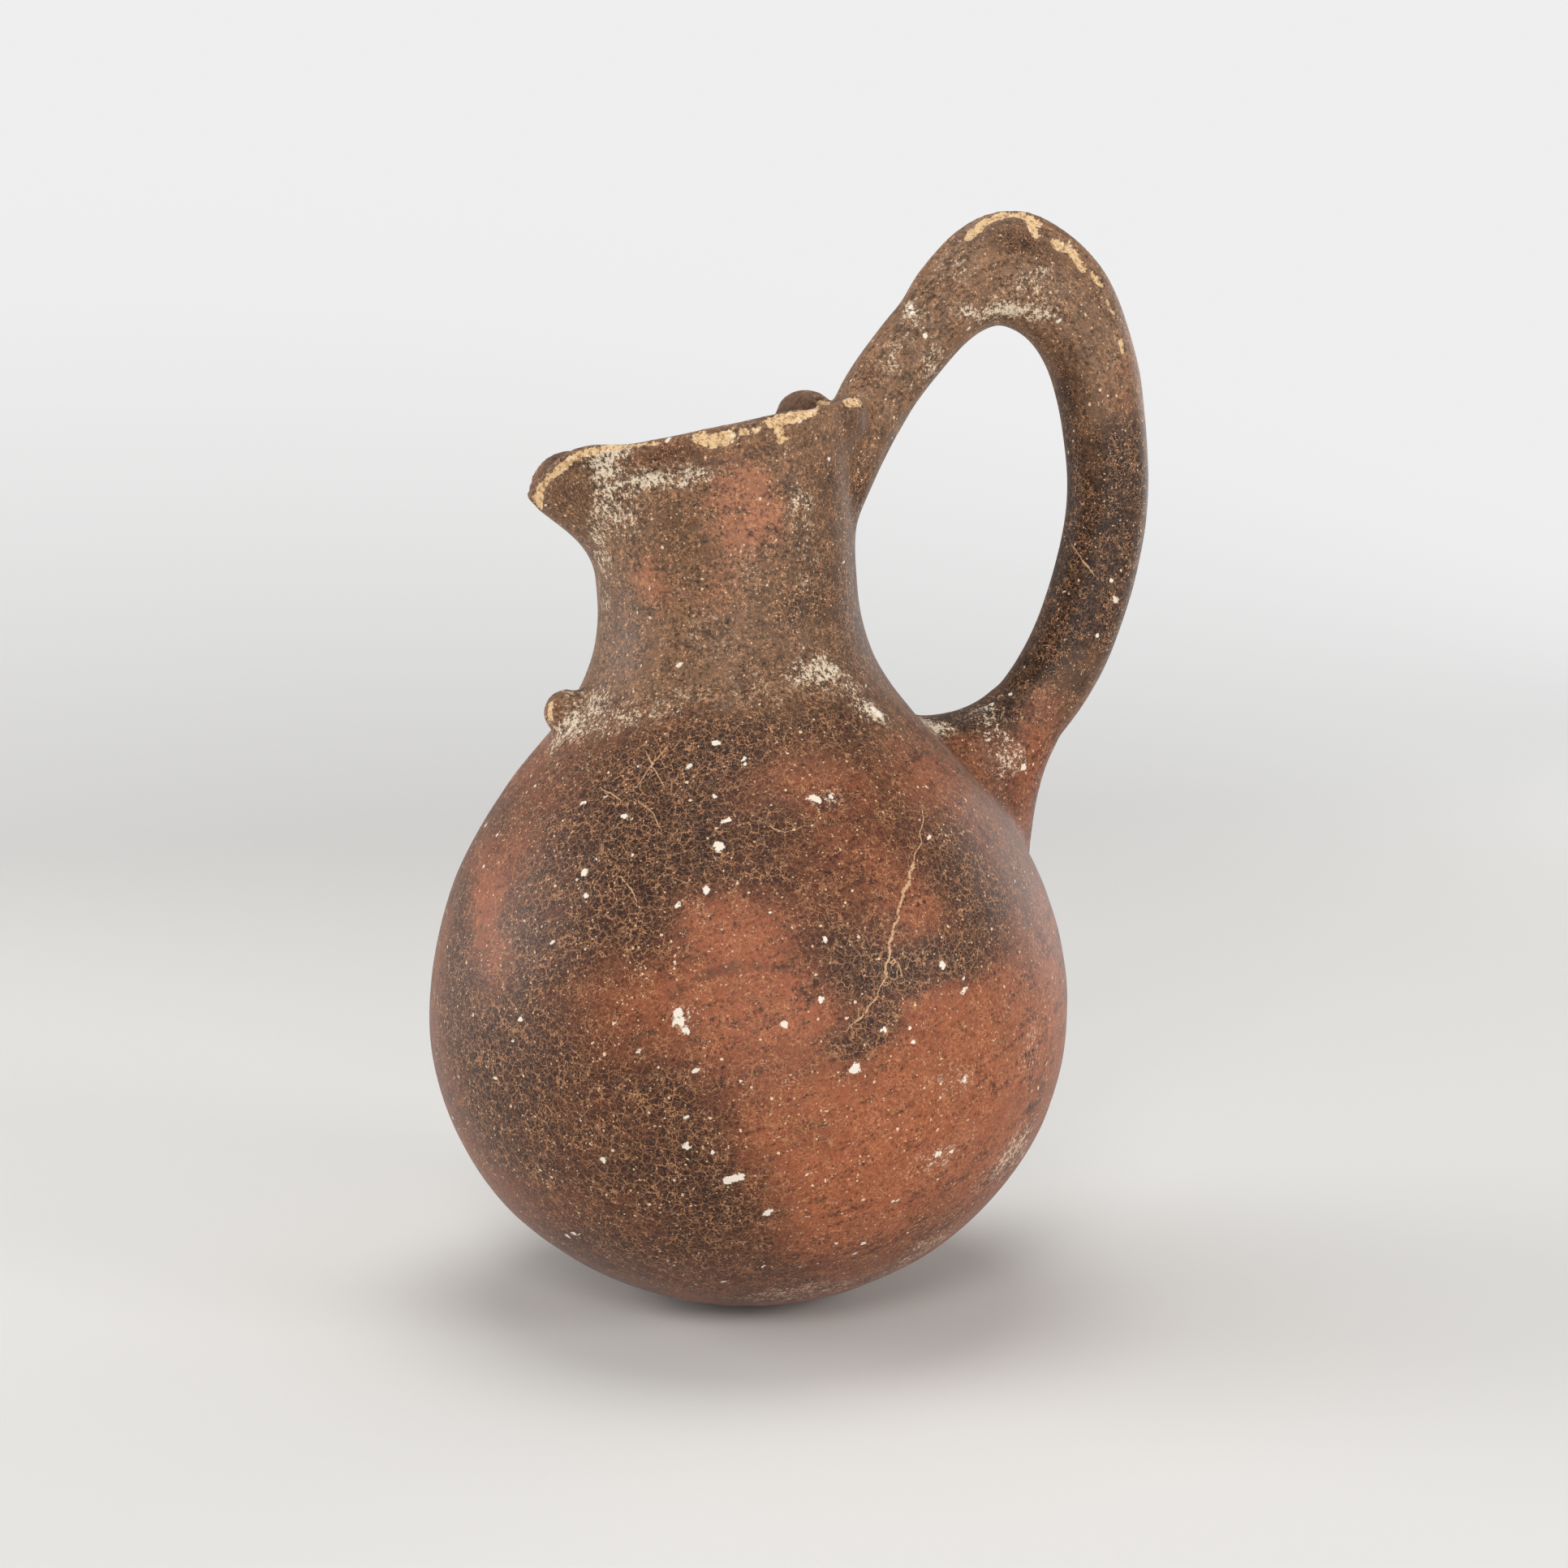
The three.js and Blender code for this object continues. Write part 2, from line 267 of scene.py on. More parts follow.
# %% [markdown]
# ## Building up the wall
# A potter starts with a flat patch of clay and raises the wall ring by ring. The script does
# the same: it adds a disc, then extrudes it up the outside, over the lip and down the inside.
# Each new ring is moved to its height and scaled to its radius. The disc that is left over at
# the end becomes the floor of the inside, so the wall is one closed skin.

# %% The wall, ring by ring
def arc_heights(pole, rim, first, count):
    start = math.acos((rim - first) / (rim - pole))
    turns = np.linspace(start, math.pi / 2, count + 1)
    return [rim - (rim - pole) * math.cos(turn) for turn in turns]


outside_z = arc_heights(belly_height - lower_rise, belly_height, 0, 26)[1:]
outside_z += list(np.linspace(belly_height, spout_start, 44))[1:]
outside_z += list(np.linspace(spout_start, rim_height, 34))[1:-1]
inside_z = list(np.linspace(rim_height, belly_height, 50))[1:]
inside_z += arc_heights(base_thickness, belly_height, base_thickness + 0.2, 22)[::-1][1:]
LIP_BAND, CREASE_DEPTH, CREASE_BELOW = 0.45, 0.4, 4.8
lip_outer, lip_inner = outer_radius(rim_height) + LIP_BAND, inner_radius(rim_height)
lip_turns = np.linspace(0, math.pi, 9)
lip_rings = [
    ((lip_outer + lip_inner) / 2 + (lip_outer - lip_inner) / 2 * math.cos(turn),
     rim_height + lip_rise * math.sin(turn))
    for turn in lip_turns
]


def lip_band(z):
    """The rim was folded a little outwards: a low band with a crease under it."""
    crease = math.exp(-((z - rim_height + CREASE_BELOW) / 1.1) ** 2)
    return LIP_BAND * ease(z, rim_height - 4.4, rim_height - 2.6) - CREASE_DEPTH * crease


rings = [(outer_radius(z) + lip_band(z), z) for z in outside_z]
rings += lip_rings
rings += [(inner_radius(z), z) for z in inside_z]

deselect_all()
bpy.ops.mesh.primitive_circle_add(vertices=96, radius=foot_radius * MM, fill_type="NGON")
wall = bpy.context.object
wall.name = "wall"
edit(wall, "SELECT")
radius, height = foot_radius, 0
for next_radius, next_height in rings:
    step = (next_height - height) * MM
    bpy.ops.mesh.extrude_region_move(TRANSFORM_OT_translate={"value": (0, 0, step)})
    growth = next_radius / radius
    centre = (0, 0, next_height * MM)
    bpy.ops.transform.resize(value=(growth, growth, 1), center_override=centre)
    radius, height = next_radius, next_height
bpy.ops.mesh.select_all(action="SELECT")
bpy.ops.mesh.normals_make_consistent(inside=False)
wall = leave_edit()
apply_modifier(wall, "SUBSURF", levels=1, render_levels=1)
print("wall:", len(rings), "rings,", len(wall.data.polygons), "faces")

# %% [markdown]
# ## Leaning the neck and drawing out the spout
# On the wheel or in the hand a neck leans when it is pushed, and a beak is pulled out of the
# rim with one finger. This is a smooth push of every point, so it is written as a formula:
# the pull is strongest at the front of the rim and fades away to the sides and downwards.

# %% Lean, rim slope and spout
def drawn_out(points):
    x, y, z = points.T
    turn = np.degrees(np.abs(np.arctan2(y, -x)))
    share = np.maximum(0, (z - spout_start) / (rim_height - spout_start))
    ring = np.hypot(x, y)
    reach = np.minimum(1, ring / waist_radius)
    beak = np.exp(-((turn / spout_angle) ** spout_squareness))
    pull = reach * spout_pull * beak * smooth_steps(share, 0, 0.9)
    scale = np.where(ring > 0, (ring + pull) / np.maximum(ring, 1e-6), 1)
    droop = reach * spout_droop * np.exp(-((turn / droop_angle) ** 2)) * share ** 2
    shift = neck_lean * smooth_steps(z, shoulder_break, lean_top)
    rising = smooth_steps(z, spout_start, rim_height)
    near, far = smooth_steps(-y, -4, 20) * rising, smooth_steps(y, 2, 18) * rising
    uneven = near * (1.2 + 1.1 * smooth_steps(x, -16, 18)) - far * 0.9
    tip = smooth_steps(-x * scale, 20, 29) * (0.7 + 0.8 * smooth_steps(x * scale, -48, -40))
    tip *= rising
    lifted = z + share * rim_slope * x * scale - droop + uneven + tip
    worn_foot = 2 * smooth_steps(x, 8, 34) * smooth_steps(-z, -13, -2)
    return np.stack([x * scale - shift - worn_foot, y * scale, lifted], axis=1)


plain = places(wall.data)
ring_now = np.hypot(plain[:, 0], plain[:, 1])
middle = np.array([(outer_radius(z) + max(0, inner_radius(z))) / 2 for z in plain[:, 2]])
wall_inside = smooth_steps(middle - ring_now, -0.8, 0.8) * (plain[:, 2] > base_thickness / 2)
move_to(wall.data, drawn_out(plain))
print("spout tip at x =", round(places(wall.data)[:, 0][places(wall.data)[:, 2] > 150].min(), 1))

# %% [markdown]
# ## The handle
# The handle is a rolled coil of clay. It is modelled straight, like the roll on the bench:
# a circle is extruded station by station and scaled to its thickness and width. Then a Curve
# modifier bends it along a line from the back of the neck, over the crest, to the shoulder.

# %% The handle's line
limb_thickness, crest_peak, grip_thickness, foot_thickness = 15, 5.8, 18, 15.8
limb_width, root_width, crest_width, grip_width = 15.5, 28, 15, 16.5
handle_foot_height = 101
foot_shift = neck_lean * ease(handle_foot_height, shoulder_break, lean_top)
rim_back = Vector((
    outer_radius(rim_height) - neck_lean, 0, rim_height + rim_slope * outer_radius(rim_height)))
handle_foot = Vector((outer_radius(handle_foot_height) - foot_shift, 0, handle_foot_height))
crest = rim_back + Vector((32.6, 0, 26.6))
grip_top = handle_foot + Vector((29.5, 0, 61))


def steps_from(point, steps):
    return [point + Vector((along, 0, up)) for along, up in steps]


into_shoulder = steps_from(handle_foot, [(15, 16), (0, 0), (-10, -10)])
bend_points = (
    steps_from(rim_back, [(-8.2, -27), (4.7, 1.1), (11.6, 11)])
    + steps_from(crest, [(-9, -3.1), (0, 0), (10.6, -4.1), (18.4, -14.6)])
    + steps_from(grip_top, [(0.5, 0), (-1.1, -15), (-7.9, -34.7)])
    + into_shoulder
)


def smooth_line(points, per_step):
    """A centripetal Catmull-Rom line: it passes through each point without loops."""
    whole = [points[0] * 2 - points[1]] + points + [points[-1] * 2 - points[-2]]
    line = []
    for a, b, c, d in zip(whole, whole[1:], whole[2:], whole[3:]):
        before, here, after = [math.sqrt((q - p).length) for p, q in ((a, b), (b, c), (c, d))]
        enter = (b - a) / before - (c - a) / (before + here) + (c - b) / here
        leave = (c - b) / here - (d - b) / (here + after) + (d - c) / after
        for step in range(per_step):
            t = step / per_step
            line.append(
                b * (2 * t ** 3 - 3 * t ** 2 + 1) + enter * here * (t ** 3 - 2 * t ** 2 + t)
                + c * (3 * t ** 2 - 2 * t ** 3) + leave * here * (t ** 3 - t ** 2))
    return line + [points[-1]]


def length_of(line):
    return sum((b - a).length for a, b in zip(line, line[1:]))


LINE_STEPS = 20
handle_line = smooth_line(bend_points, LINE_STEPS)
handle_length = length_of(handle_line)
print("handle line:", round(handle_length, 1), "mm long")

# %% A straight coil, then bent
# share of the length, thickness, swelling of the outer side, width, pinch of the outer side
handle_stations = [
    (0, limb_thickness - 5, 3, root_width, 0),
    (0.09, limb_thickness - 4, 2, root_width, 0),
    (0.15, limb_thickness - 1, 0.6, blend_sizes(root_width, limb_width, 0.75), 0),
    (0.25, limb_thickness, 0, limb_width, 0.2),
    (0.293, blend_sizes(limb_thickness, grip_thickness, 0.5), crest_peak * 0.3, limb_width, 0.35),
    (0.346, grip_thickness, crest_peak, crest_width, 0.45),
    (0.405, grip_thickness, crest_peak * 0.62, crest_width, 0.35),
    (0.46, grip_thickness - 0.4, crest_peak * 0.2, grip_width, 0.1),
    (0.56, grip_thickness - 0.8, 0, grip_width, 0),
    (0.66, grip_thickness - 0.8, 0, grip_width, 0),
    (0.8, foot_thickness + 0.6, 0, grip_width, 0),
    (1, foot_thickness, 0, grip_width, 0),
]


def station(stations, share, column):
    return float(np.interp(share, [row[0] for row in stations], [row[column] for row in stations]))


def straight_coil(name, length, count, thickness_at, width_at):
    """A closed roll of clay along X, one ring after another."""
    deselect_all()
    bpy.ops.mesh.primitive_circle_add(
        vertices=32, radius=MM, fill_type="NGON", rotation=(0, math.pi / 2, 0))
    coil = settle(bpy.context.object)
    coil.name = name
    edit(coil, "SELECT")
    tall, wide = thickness_at(0) / 2, width_at(0) / 2
    bpy.ops.transform.resize(value=(1, wide, tall), center_override=(0, 0, 0))
    for ring in range(1, count + 1):
        share = ring / count
        step = length / count * MM
        bpy.ops.mesh.extrude_region_move(TRANSFORM_OT_translate={"value": (step, 0, 0)})
        next_tall, next_wide = thickness_at(share) / 2, width_at(share) / 2
        bpy.ops.transform.resize(
            value=(1, next_wide / wide, next_tall / tall),
            center_override=(share * length * MM, 0, 0))
        tall, wide = next_tall, next_wide
    bpy.ops.mesh.select_all(action="SELECT")
    bpy.ops.mesh.normals_make_consistent(inside=False)
    return leave_edit()


def bent_along(piece, line):
    curve = bpy.data.curves.new(piece.name + "_line", "CURVE")
    curve.dimensions = "3D"
    curve.twist_mode = "MINIMUM"
    spline = curve.splines.new("POLY")
    spline.points.add(len(line) - 1)
    for knot, point in zip(spline.points, line):
        knot.co = (*(point * MM), 1)
    guide = bpy.data.objects.new(piece.name + "_line", curve)
    bpy.context.scene.collection.objects.link(guide)
    apply_modifier(piece, "CURVE", object=guide, deform_axis="POS_X")
    bpy.data.objects.remove(guide)
    return piece


handle = straight_coil(
    "handle_coil", handle_length, 72,
    lambda share: station(handle_stations, share, 1),
    lambda share: station(handle_stations, share, 3))
roll = places(handle.data)
share_along = roll[:, 0] / handle_length
columns = np.array(handle_stations).T
half = np.interp(share_along, columns[0], columns[1]) / 2
peak = np.interp(share_along, columns[0], columns[2])
pinch = np.interp(share_along, columns[0], columns[4])
across = np.maximum(0, roll[:, 2] / half)
roll[:, 1] *= 1 - pinch * across ** 2
roll[:, 2] += peak * across
move_to(handle.data, roll)
bent_along(handle, handle_line)
apply_modifier(handle, "SUBSURF", levels=1, render_levels=1)
print("handle coil:", len(handle.data.polygons), "faces")

# %% [markdown]
# ## Where the handle meets the pot
# The roll is pushed onto the wall, so it must end inside the wall and not stick out within.
# A bisect cuts it off at the middle of the wall. At the lower end the potter spread extra clay
# around the joint: a short coil that widens like a trumpet, bent along the same line.

# %% Trim the ends and add the root
def trim(piece, point, outward):
    edit(piece, "SELECT")
    bpy.ops.mesh.bisect(plane_co=point * MM, plane_no=outward, use_fill=True, clear_inner=True)
    return leave_edit()


neck_wall_middle = Vector((18.8, 0, 160))
shoulder_normal = Vector((0.78, 0, 0.62))
shoulder_cut = handle_foot - shoulder_normal * 3
trim(handle, neck_wall_middle, Vector((1, 0, 0)))
trim(handle, shoulder_cut, shoulder_normal)

root_inner, root_outer, root_spread, root_lip = 30, 24, 28, 0.2
root_flare, root_heel = 2.4, 1.72
root_line = smooth_line(into_shoulder, LINE_STEPS)
root_length = length_of(root_line)

root = straight_coil("handle_root", root_length, 24, lambda share: 2, lambda share: 2)
roll = places(root.data)
shares = roll[:, 0] / root_length
widening = np.clip(shares / 0.78, 0, 1)
flare = widening ** root_flare
towards_hole = blend_sizes(foot_thickness / 2 + root_lip, root_inner, flare)
outwards = blend_sizes(foot_thickness / 2 + root_lip, root_outer, widening ** root_heel)
side = blend_sizes(grip_width / 2 + root_lip, root_spread / 2, flare)
soft_start = smooth_steps(shares, -0.25, 0.12)
roll[:, 2] *= np.where(roll[:, 2] > 0, towards_hole, outwards) * soft_start
roll[:, 1] *= side * soft_start
move_to(root.data, roll)
bent_along(root, root_line)
trim(root, shoulder_cut, shoulder_normal)
print("root flare reaches down to", round(places(root.data)[:, 2].min(), 1), "mm")

# %% [markdown]
# ## Knob and ears
# Small pellets of clay were stuck on: one low on the front of the neck and one on each side
# of the handle at the rim. Each is a ball, squashed and turned to its seat. The near ear is
# worn down to a low pad, the far one still stands up.

# %% Pellets of clay
knob_height, knob_radius = 117, 4.6
ear_radius, ear_depth, ear_angle, ear_sink = 6.2, 4.4, math.radians(31), 1
near_ear_rise, far_ear_rise = 4.2, 6.2


def pellet(name, sizes, place, turn=0):
    deselect_all()
    bpy.ops.mesh.primitive_uv_sphere_add(segments=32, ring_count=20, radius=MM)
    ball = bpy.context.object
    ball.name = name
    edit(ball, "SELECT")
    bpy.ops.transform.resize(value=sizes, center_override=(0, 0, 0))
    bpy.ops.transform.rotate(value=-turn, orient_axis="Z", center_override=(0, 0, 0))
    bpy.ops.transform.translate(value=place * MM)
    return leave_edit()


knob_shift = neck_lean * ease(knob_height, shoulder_break, lean_top)
knob_seat = Vector((-outer_radius(knob_height) - knob_shift - 0.9, 0, knob_height))
knob = pellet("knob_pellet", (knob_radius, knob_radius * 0.9, knob_radius), knob_seat)


def ear(name, sides, turn, rise, sizes):
    ring = outer_radius(rim_height) - ear_sink
    along = ring * math.cos(turn)
    top = rim_height + rim_slope * along + rise
    place = Vector((along - neck_lean, sides * ring * math.sin(turn), top - sizes[2]))
    return pellet(name, sizes, place, sides * turn)


near_ear = ear("near_pellet", -1, ear_angle * 0.86, near_ear_rise + 0.7,
               (ear_depth * 0.8, ear_radius * 1.2, ear_radius * 0.9))
far_ear = ear("far_pellet", 1, ear_angle, far_ear_rise - 0.3,
              (ear_depth, ear_radius * 1.25, ear_radius * 0.9))
print("ears at", [round(places(item.data)[:, 0].mean(), 1) for item in (near_ear, far_ear)])

# %% [markdown]
# ## One skin
# Wet clay parts grow together. Joining the meshes and running a voxel remesh does the same:
# everything that overlaps becomes one closed skin of small even faces. Before that, the pure
# wall is kept in a search tree, so that the script can tell later what lies outside of it.

# %% Fuse the parts
voxel = 0.85


def search_tree(piece):
    mesh = piece.data
    return BVHTree.FromPolygons(
        [vertex.co / MM for vertex in mesh.vertices],
        [tuple(face.vertices) for face in mesh.polygons])


wall_tree = search_tree(wall)
wall_points = KDTree(len(wall.data.vertices))
for vertex in wall.data.vertices:
    wall_points.insert(vertex.co / MM, vertex.index)
wall_points.balance()
added_trees = {
    "handle": search_tree(handle),
    "handle_root_collar": search_tree(root),
    "front_knob": search_tree(knob),
    "near_ear": search_tree(near_ear),
    "far_ear": search_tree(far_ear),
}
deselect_all()
for piece in (handle, root, knob, near_ear, far_ear, wall):
    piece.select_set(True)
bpy.context.view_layer.objects.active = wall
bpy.ops.object.join()
jug = bpy.context.object
jug.name = "jug_skin"
apply_modifier(jug, "REMESH", mode="VOXEL", voxel_size=voxel * MM, use_smooth_shade=True)
print("fused skin:", len(jug.data.vertices), "vertices")

# %% [markdown]
# ## Smoothed joints
# A wet finger was run along each joint. Here the points near a joint get a weight, and a
# Smooth modifier works only on them. A gentle pass over the whole skin then takes away the
# fine stairs that a voxel remesh leaves.

# %% Smooth the joints
FAR = 40


def distance_to(tree, points):
    hits = (tree.find_nearest(Vector(point), FAR)[3] for point in points)
    return np.array([FAR if hit is None else hit for hit in hits], float)


def near_box(name, points, margin):
    """The numbers of the points in a solid's box, or less than the margin outside of it."""
    low, high = [np.array(corner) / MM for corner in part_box(name)[:2]]
    return np.nonzero(((points > low - margin) & (points < high + margin)).all(axis=1))[0]


JOINT_REACH = {
    "handle": 4.5, "handle_root_collar": 4.5, "front_knob": 1.4, "near_ear": 6, "far_ear": 3}
JOINT_ROUNDS, SKIN_ROUNDS, LEAST_WEIGHT = 60, 5, 0.02
points = places(jug.data)
joint_weight = np.zeros(len(points))
for name, tree in added_trees.items():
    close = near_box(name, points, 9)
    away = distance_to(tree, points[close])
    from_wall = distance_to(wall_tree, points[close])
    weight = np.exp(-(np.maximum(away, from_wall) / JOINT_REACH[name]) ** 2)
    joint_weight[close] = np.maximum(joint_weight[close], weight)
group = jug.vertex_groups.new(name="joint")
for index in np.nonzero(joint_weight > LEAST_WEIGHT)[0]:
    group.add([int(index)], float(joint_weight[index]), "REPLACE")
apply_modifier(jug, "SMOOTH", factor=0.5, iterations=JOINT_ROUNDS, vertex_group="joint")
apply_modifier(jug, "SMOOTH", factor=0.5, iterations=SKIN_ROUNDS)
jug.vertex_groups.clear()
print("joint points:", int((joint_weight > LEAST_WEIGHT).sum()))

# %% [markdown]
# ## The touch of the hand
# Nothing on a hand-built pot is quite round. A slow, shallow unevenness is pressed into the
# skin along its own direction: a few wide dents and finer ripples from the burnishing stone.

# %% Uneven walls
def skin_normals(mesh):
    return read(mesh.vertices, "normal", width=3)


def stored_normals(mesh):
    """The normals of the whole skin, as they were before it was cut."""
    return read(mesh.attributes["skin_normal"].data, "vector", width=3)


def wobble(points, size, seed):
    offset = Vector((seed * 7.3, seed * 3.1, seed * 5.7))
    return np.array([noise.noise(Vector(point) / size + offset) for point in points])


# middle of the dent, its width, and how far it is raised
hand_dents = [((-42, 12.5, 104), 11, 0.7), ((-59, 17, 73), 14, -0.45), ((-41, 12, 14), 13, 0.7)]
UNEVENNESS, RIPPLE = 0.34, 0.1
points = places(jug.data)
push = UNEVENNESS * wobble(points, 26, 1) + RIPPLE * wobble(points, 7, 2)
push -= 0.25 * smooth_steps(np.abs(points[:, 1]), 56, 63)
push -= 0.15 * smooth_steps(points[:, 0], 76, 84)
for centre, wide, depth in hand_dents:
    push += depth * np.exp(-((points - centre) ** 2).sum(axis=1) / wide ** 2)
push *= smooth_steps(points[:, 2], 0.5, 8)
move_to(jug.data, points + skin_normals(jug.data) * push[:, None])
print("unevenness:", round(push.min(), 2), "to", round(push.max(), 2), "mm")

# %% [markdown]
# ## Marks seen in the photograph
# The surface tells the jug's story: smoke clouds from the fire, orange patches where air got
# in, lime from the ground and chips from use. A few of these marks are painted shade and
# painted sheen instead: darker strips on the right side of the neck and under the lip, pale
# strips along the lower edges and under the lip, and orange strips along the right edge. Each
# mark was read off the photograph as a point, a size in millimetres and a strength. Looking
# through the camera puts it on the clay, and it is kept as a soft field on the points of the
# mesh, which the clay material reads.

# %% Looking at the skin
skin_tree = search_tree(jug)
LONGEST_LOOK = 900
BESIDE_THE_JUG = range(430, 620, 3)


def seen(across, down):
    """The place on the skin behind a point of the photograph, or the nearest place beside it."""
    aim = ray_through(across, down)
    hit = skin_tree.ray_cast(camera_place, aim, LONGEST_LOOK)
    if hit[0] is not None:
        return np.array(hit[0])
    steps = [camera_place + aim * reach for reach in BESIDE_THE_JUG]
    nearest = min((skin_tree.find_nearest(step) for step in steps), key=lambda found: found[3])
    return np.array(nearest[0])


def drift(points):
    """Smoke and flame wander: the edges of their patches are shifted this way and that."""
    level, upright = [
        2.6 * wobble(points, 12, seed) + 1.4 * wobble(points, 4.5, seed + 3) for seed in (11, 12)]
    return np.stack([level, level * 0.3, upright], axis=1)


OVAL_DEPTH, FALL_OFF = 1.3, 0.8


def patches(points, spots):
    """Soft ovals: across, down, half width, half height, strength, and a tilt in degrees."""
    left = np.ones(len(points))
    for across, down, wide, tall, strength, *tilt in spots:
        offset = points - seen(across, down)
        along = offset @ np.array(camera_right)
        up = offset @ np.array(camera_up)
        deep = offset @ np.array(camera_back)
        turn = math.radians(sum(tilt))
        side = along * math.cos(turn) + up * math.sin(turn)
        rise = up * math.cos(turn) - along * math.sin(turn)
        far = (side / wide) ** 2 + (rise / tall) ** 2
        far += (deep / (OVAL_DEPTH * max(wide, tall))) ** 2
        left *= 1 - strength * np.exp(-FALL_OFF * far)
    return 1 - left


print("the middle of the belly lies at", np.round(seen(920, 1250), 1), "mm")

# %% Smoke clouds, fire-orange patches and lime, with painted shade and painted sheen among them
smoke = [
    # shoulder and middle
    (760, 1040, 9, 17, 0.95, 15), (830, 980, 10, 10, 0.7), (890, 920, 12, 6, 0.75),
    (800, 930, 8, 5, 0.6), (860, 1040, 8, 8, 0.55), (950, 1030, 6, 7, 0.6),
    (905, 1085, 6, 4, 0.35), (730, 1130, 9, 10, 0.55), (800, 1150, 6, 5, 0.5),
    (690, 1050, 6, 12, 0.35, 15), (1000, 1100, 8, 8, 0.3), (1050, 1170, 7, 5, 0.6),
    (1110, 1190, 8, 3.4, 0.95, 8), (1180, 1180, 8, 3.4, 0.85, 10), (1080, 1215, 5, 5, 0.5),
    (1205, 1120, 6, 9, 0.7), (1170, 1050, 9, 11, 0.55, -25), (1100, 1000, 8, 9, 0.35),
    (1060, 930, 7, 5, 0.35, -20), (1000, 900, 8, 4, 0.4), (1075, 1270, 6, 4, 0.75, 10),
    (1045, 1295, 5, 3.5, 0.6), (1100, 1250, 3, 4, 0.5),
    # lower left
    (700, 1300, 16, 9, 0.4), (780, 1370, 13, 9, 0.4), (640, 1400, 13, 15, 0.6),
    (750, 1450, 16, 10, 0.45), (836, 1450, 10, 12, 0.62), (850, 1510, 15, 8, 0.5),
    (815, 1345, 7, 5, 0.38), (885, 1380, 4, 5, 0.2), (590, 1300, 8, 16, 0.7),
    (560, 1200, 4, 14, 0.8), (720, 1530, 14, 6, 0.55), (900, 1570, 20, 5, 0.3),
    (870, 1300, 6, 4, 0.12), (900, 1480, 8, 8, 0.42), (940, 1420, 9, 9, 0.16),
    (672, 1200, 7, 9, 0.35), (636, 1325, 7, 10, 0.4), (972, 1322, 8, 7, 0.22),
    # left shoulder
    (620, 1010, 6, 10, 0.45, 35), (572, 1090, 3, 9, 0.5, 15), (680, 960, 7, 6, 0.35),
    (650, 1130, 6, 10, 0.6), (650, 1230, 6, 9, 0.45),
    # neck
    (700, 615, 5, 5, 0.45), (760, 760, 6, 10, 0.3), (1010, 700, 6, 12, 0.35),
    (980, 760, 8, 7, 0.3), (1020, 590, 5, 4, 0.4), (1060, 520, 4, 4, 0.4), (830, 660, 5, 5, 0.3),
    # the thin strip at 815, 566 is painted shade on the lip band, which faces down
    (1040, 880, 8, 5, 0.4, -20), (815, 566, 9, 2, 0.5, 4),
    # handle
    # the marks down the inner face of the handle and along the bottom of its loop make it darker
    # there
    (1310, 640, 4.5, 14, 0.85), (1304, 740, 4, 10, 0.95, -10), (1274, 812, 4.5, 8, 0.95, -35),
    (1225, 868, 6, 3.5, 0.95, -25), (1165, 893, 6, 2, 0.85), (1385, 592, 5, 10, 0.95),
    (1394, 655, 8, 16, 0.95), (1380, 745, 6, 9, 0.6, 8), (1400, 690, 6, 12, 0.7),
    (1370, 560, 3, 5, 0.5), (1352, 755, 7, 9, 0.85), (1330, 700, 3, 6, 0.5),
    (1306, 500, 4, 11, 0.55), (1300, 545, 2, 7, 0.5), (1275, 300, 6, 2.5, 0.4, -20),
    (1240, 290, 6, 3, 0.3), (1326, 865, 5, 6, 0.45), (1100, 560, 3, 4, 0.4, -30),
    # the strips at 1062, 780 and 1064, 640 are painted shade on the right side of the neck
    (1060, 620, 2.5, 5, 0.4), (1240, 985, 8, 11, 0.26), (1062, 780, 6, 17, 0.55),
    (1064, 640, 5, 10, 0.4), (1194, 878, 7, 5, 0.7), (1265, 1090, 5, 12, 0.25),
]
ember = [
    # lower right
    (1090, 1400, 26, 17, 0.95), (1190, 1290, 15, 13, 0.9), (980, 1400, 10, 14, 0.8),
    (1020, 1500, 14, 7, 0.7), (1240, 1380, 9, 14, 0.6), (1160, 1235, 11, 4, 0.8),
    # middle
    (900, 1215, 13, 8, 0.8), (930, 1150, 9, 6, 0.75), (860, 1130, 4, 4, 0.5),
    (830, 1185, 5, 6, 0.5), (780, 1230, 9, 4, 0.45), (990, 1250, 8, 6, 0.6),
    (910, 1290, 12, 5, 0.6), (700, 1170, 5, 4, 0.3),
    # left streak and shoulders
    (602, 1100, 3.4, 9, 1), (614, 1185, 3.4, 9, 1, 8), (760, 1290, 22, 5, 0.3),
    (1125, 1110, 5, 9, 0.65), (1080, 1060, 6, 6, 0.35), (1130, 950, 10, 8, 0.4, -30),
    (960, 960, 14, 5, 0.35), (800, 915, 9, 2, 0.6, 8), (700, 950, 6, 5, 0.4, 40),
    # the narrow strips at 1290, 1150 and 1300, 1250 are painted sheen along the right edge
    (1290, 1150, 4, 14, 0.5), (1300, 1250, 4, 12, 0.7), (1200, 1060, 4, 8, 0.3, -20),
    # neck
    (925, 640, 7, 8, 0.62), (915, 600, 5, 4, 0.4), (800, 712, 4, 5, 0.55), (880, 720, 6, 4, 0.3),
    (815, 563, 9, 1.6, 0.45, 4), (690, 590, 5, 2, 0.3, 35),
    # root and handle
    (1266, 935, 5, 10, 0.45, 25), (1290, 860, 4, 8, 0.45, -25), (1230, 930, 8, 8, 0.2),
    (1262, 1000, 5, 9, 0.35), (1385, 470, 3, 9, 0.3), (1390, 690, 2, 9, 0.35),
    (1330, 640, 2, 8, 0.5), (1345, 790, 3, 6, 0.5),
]
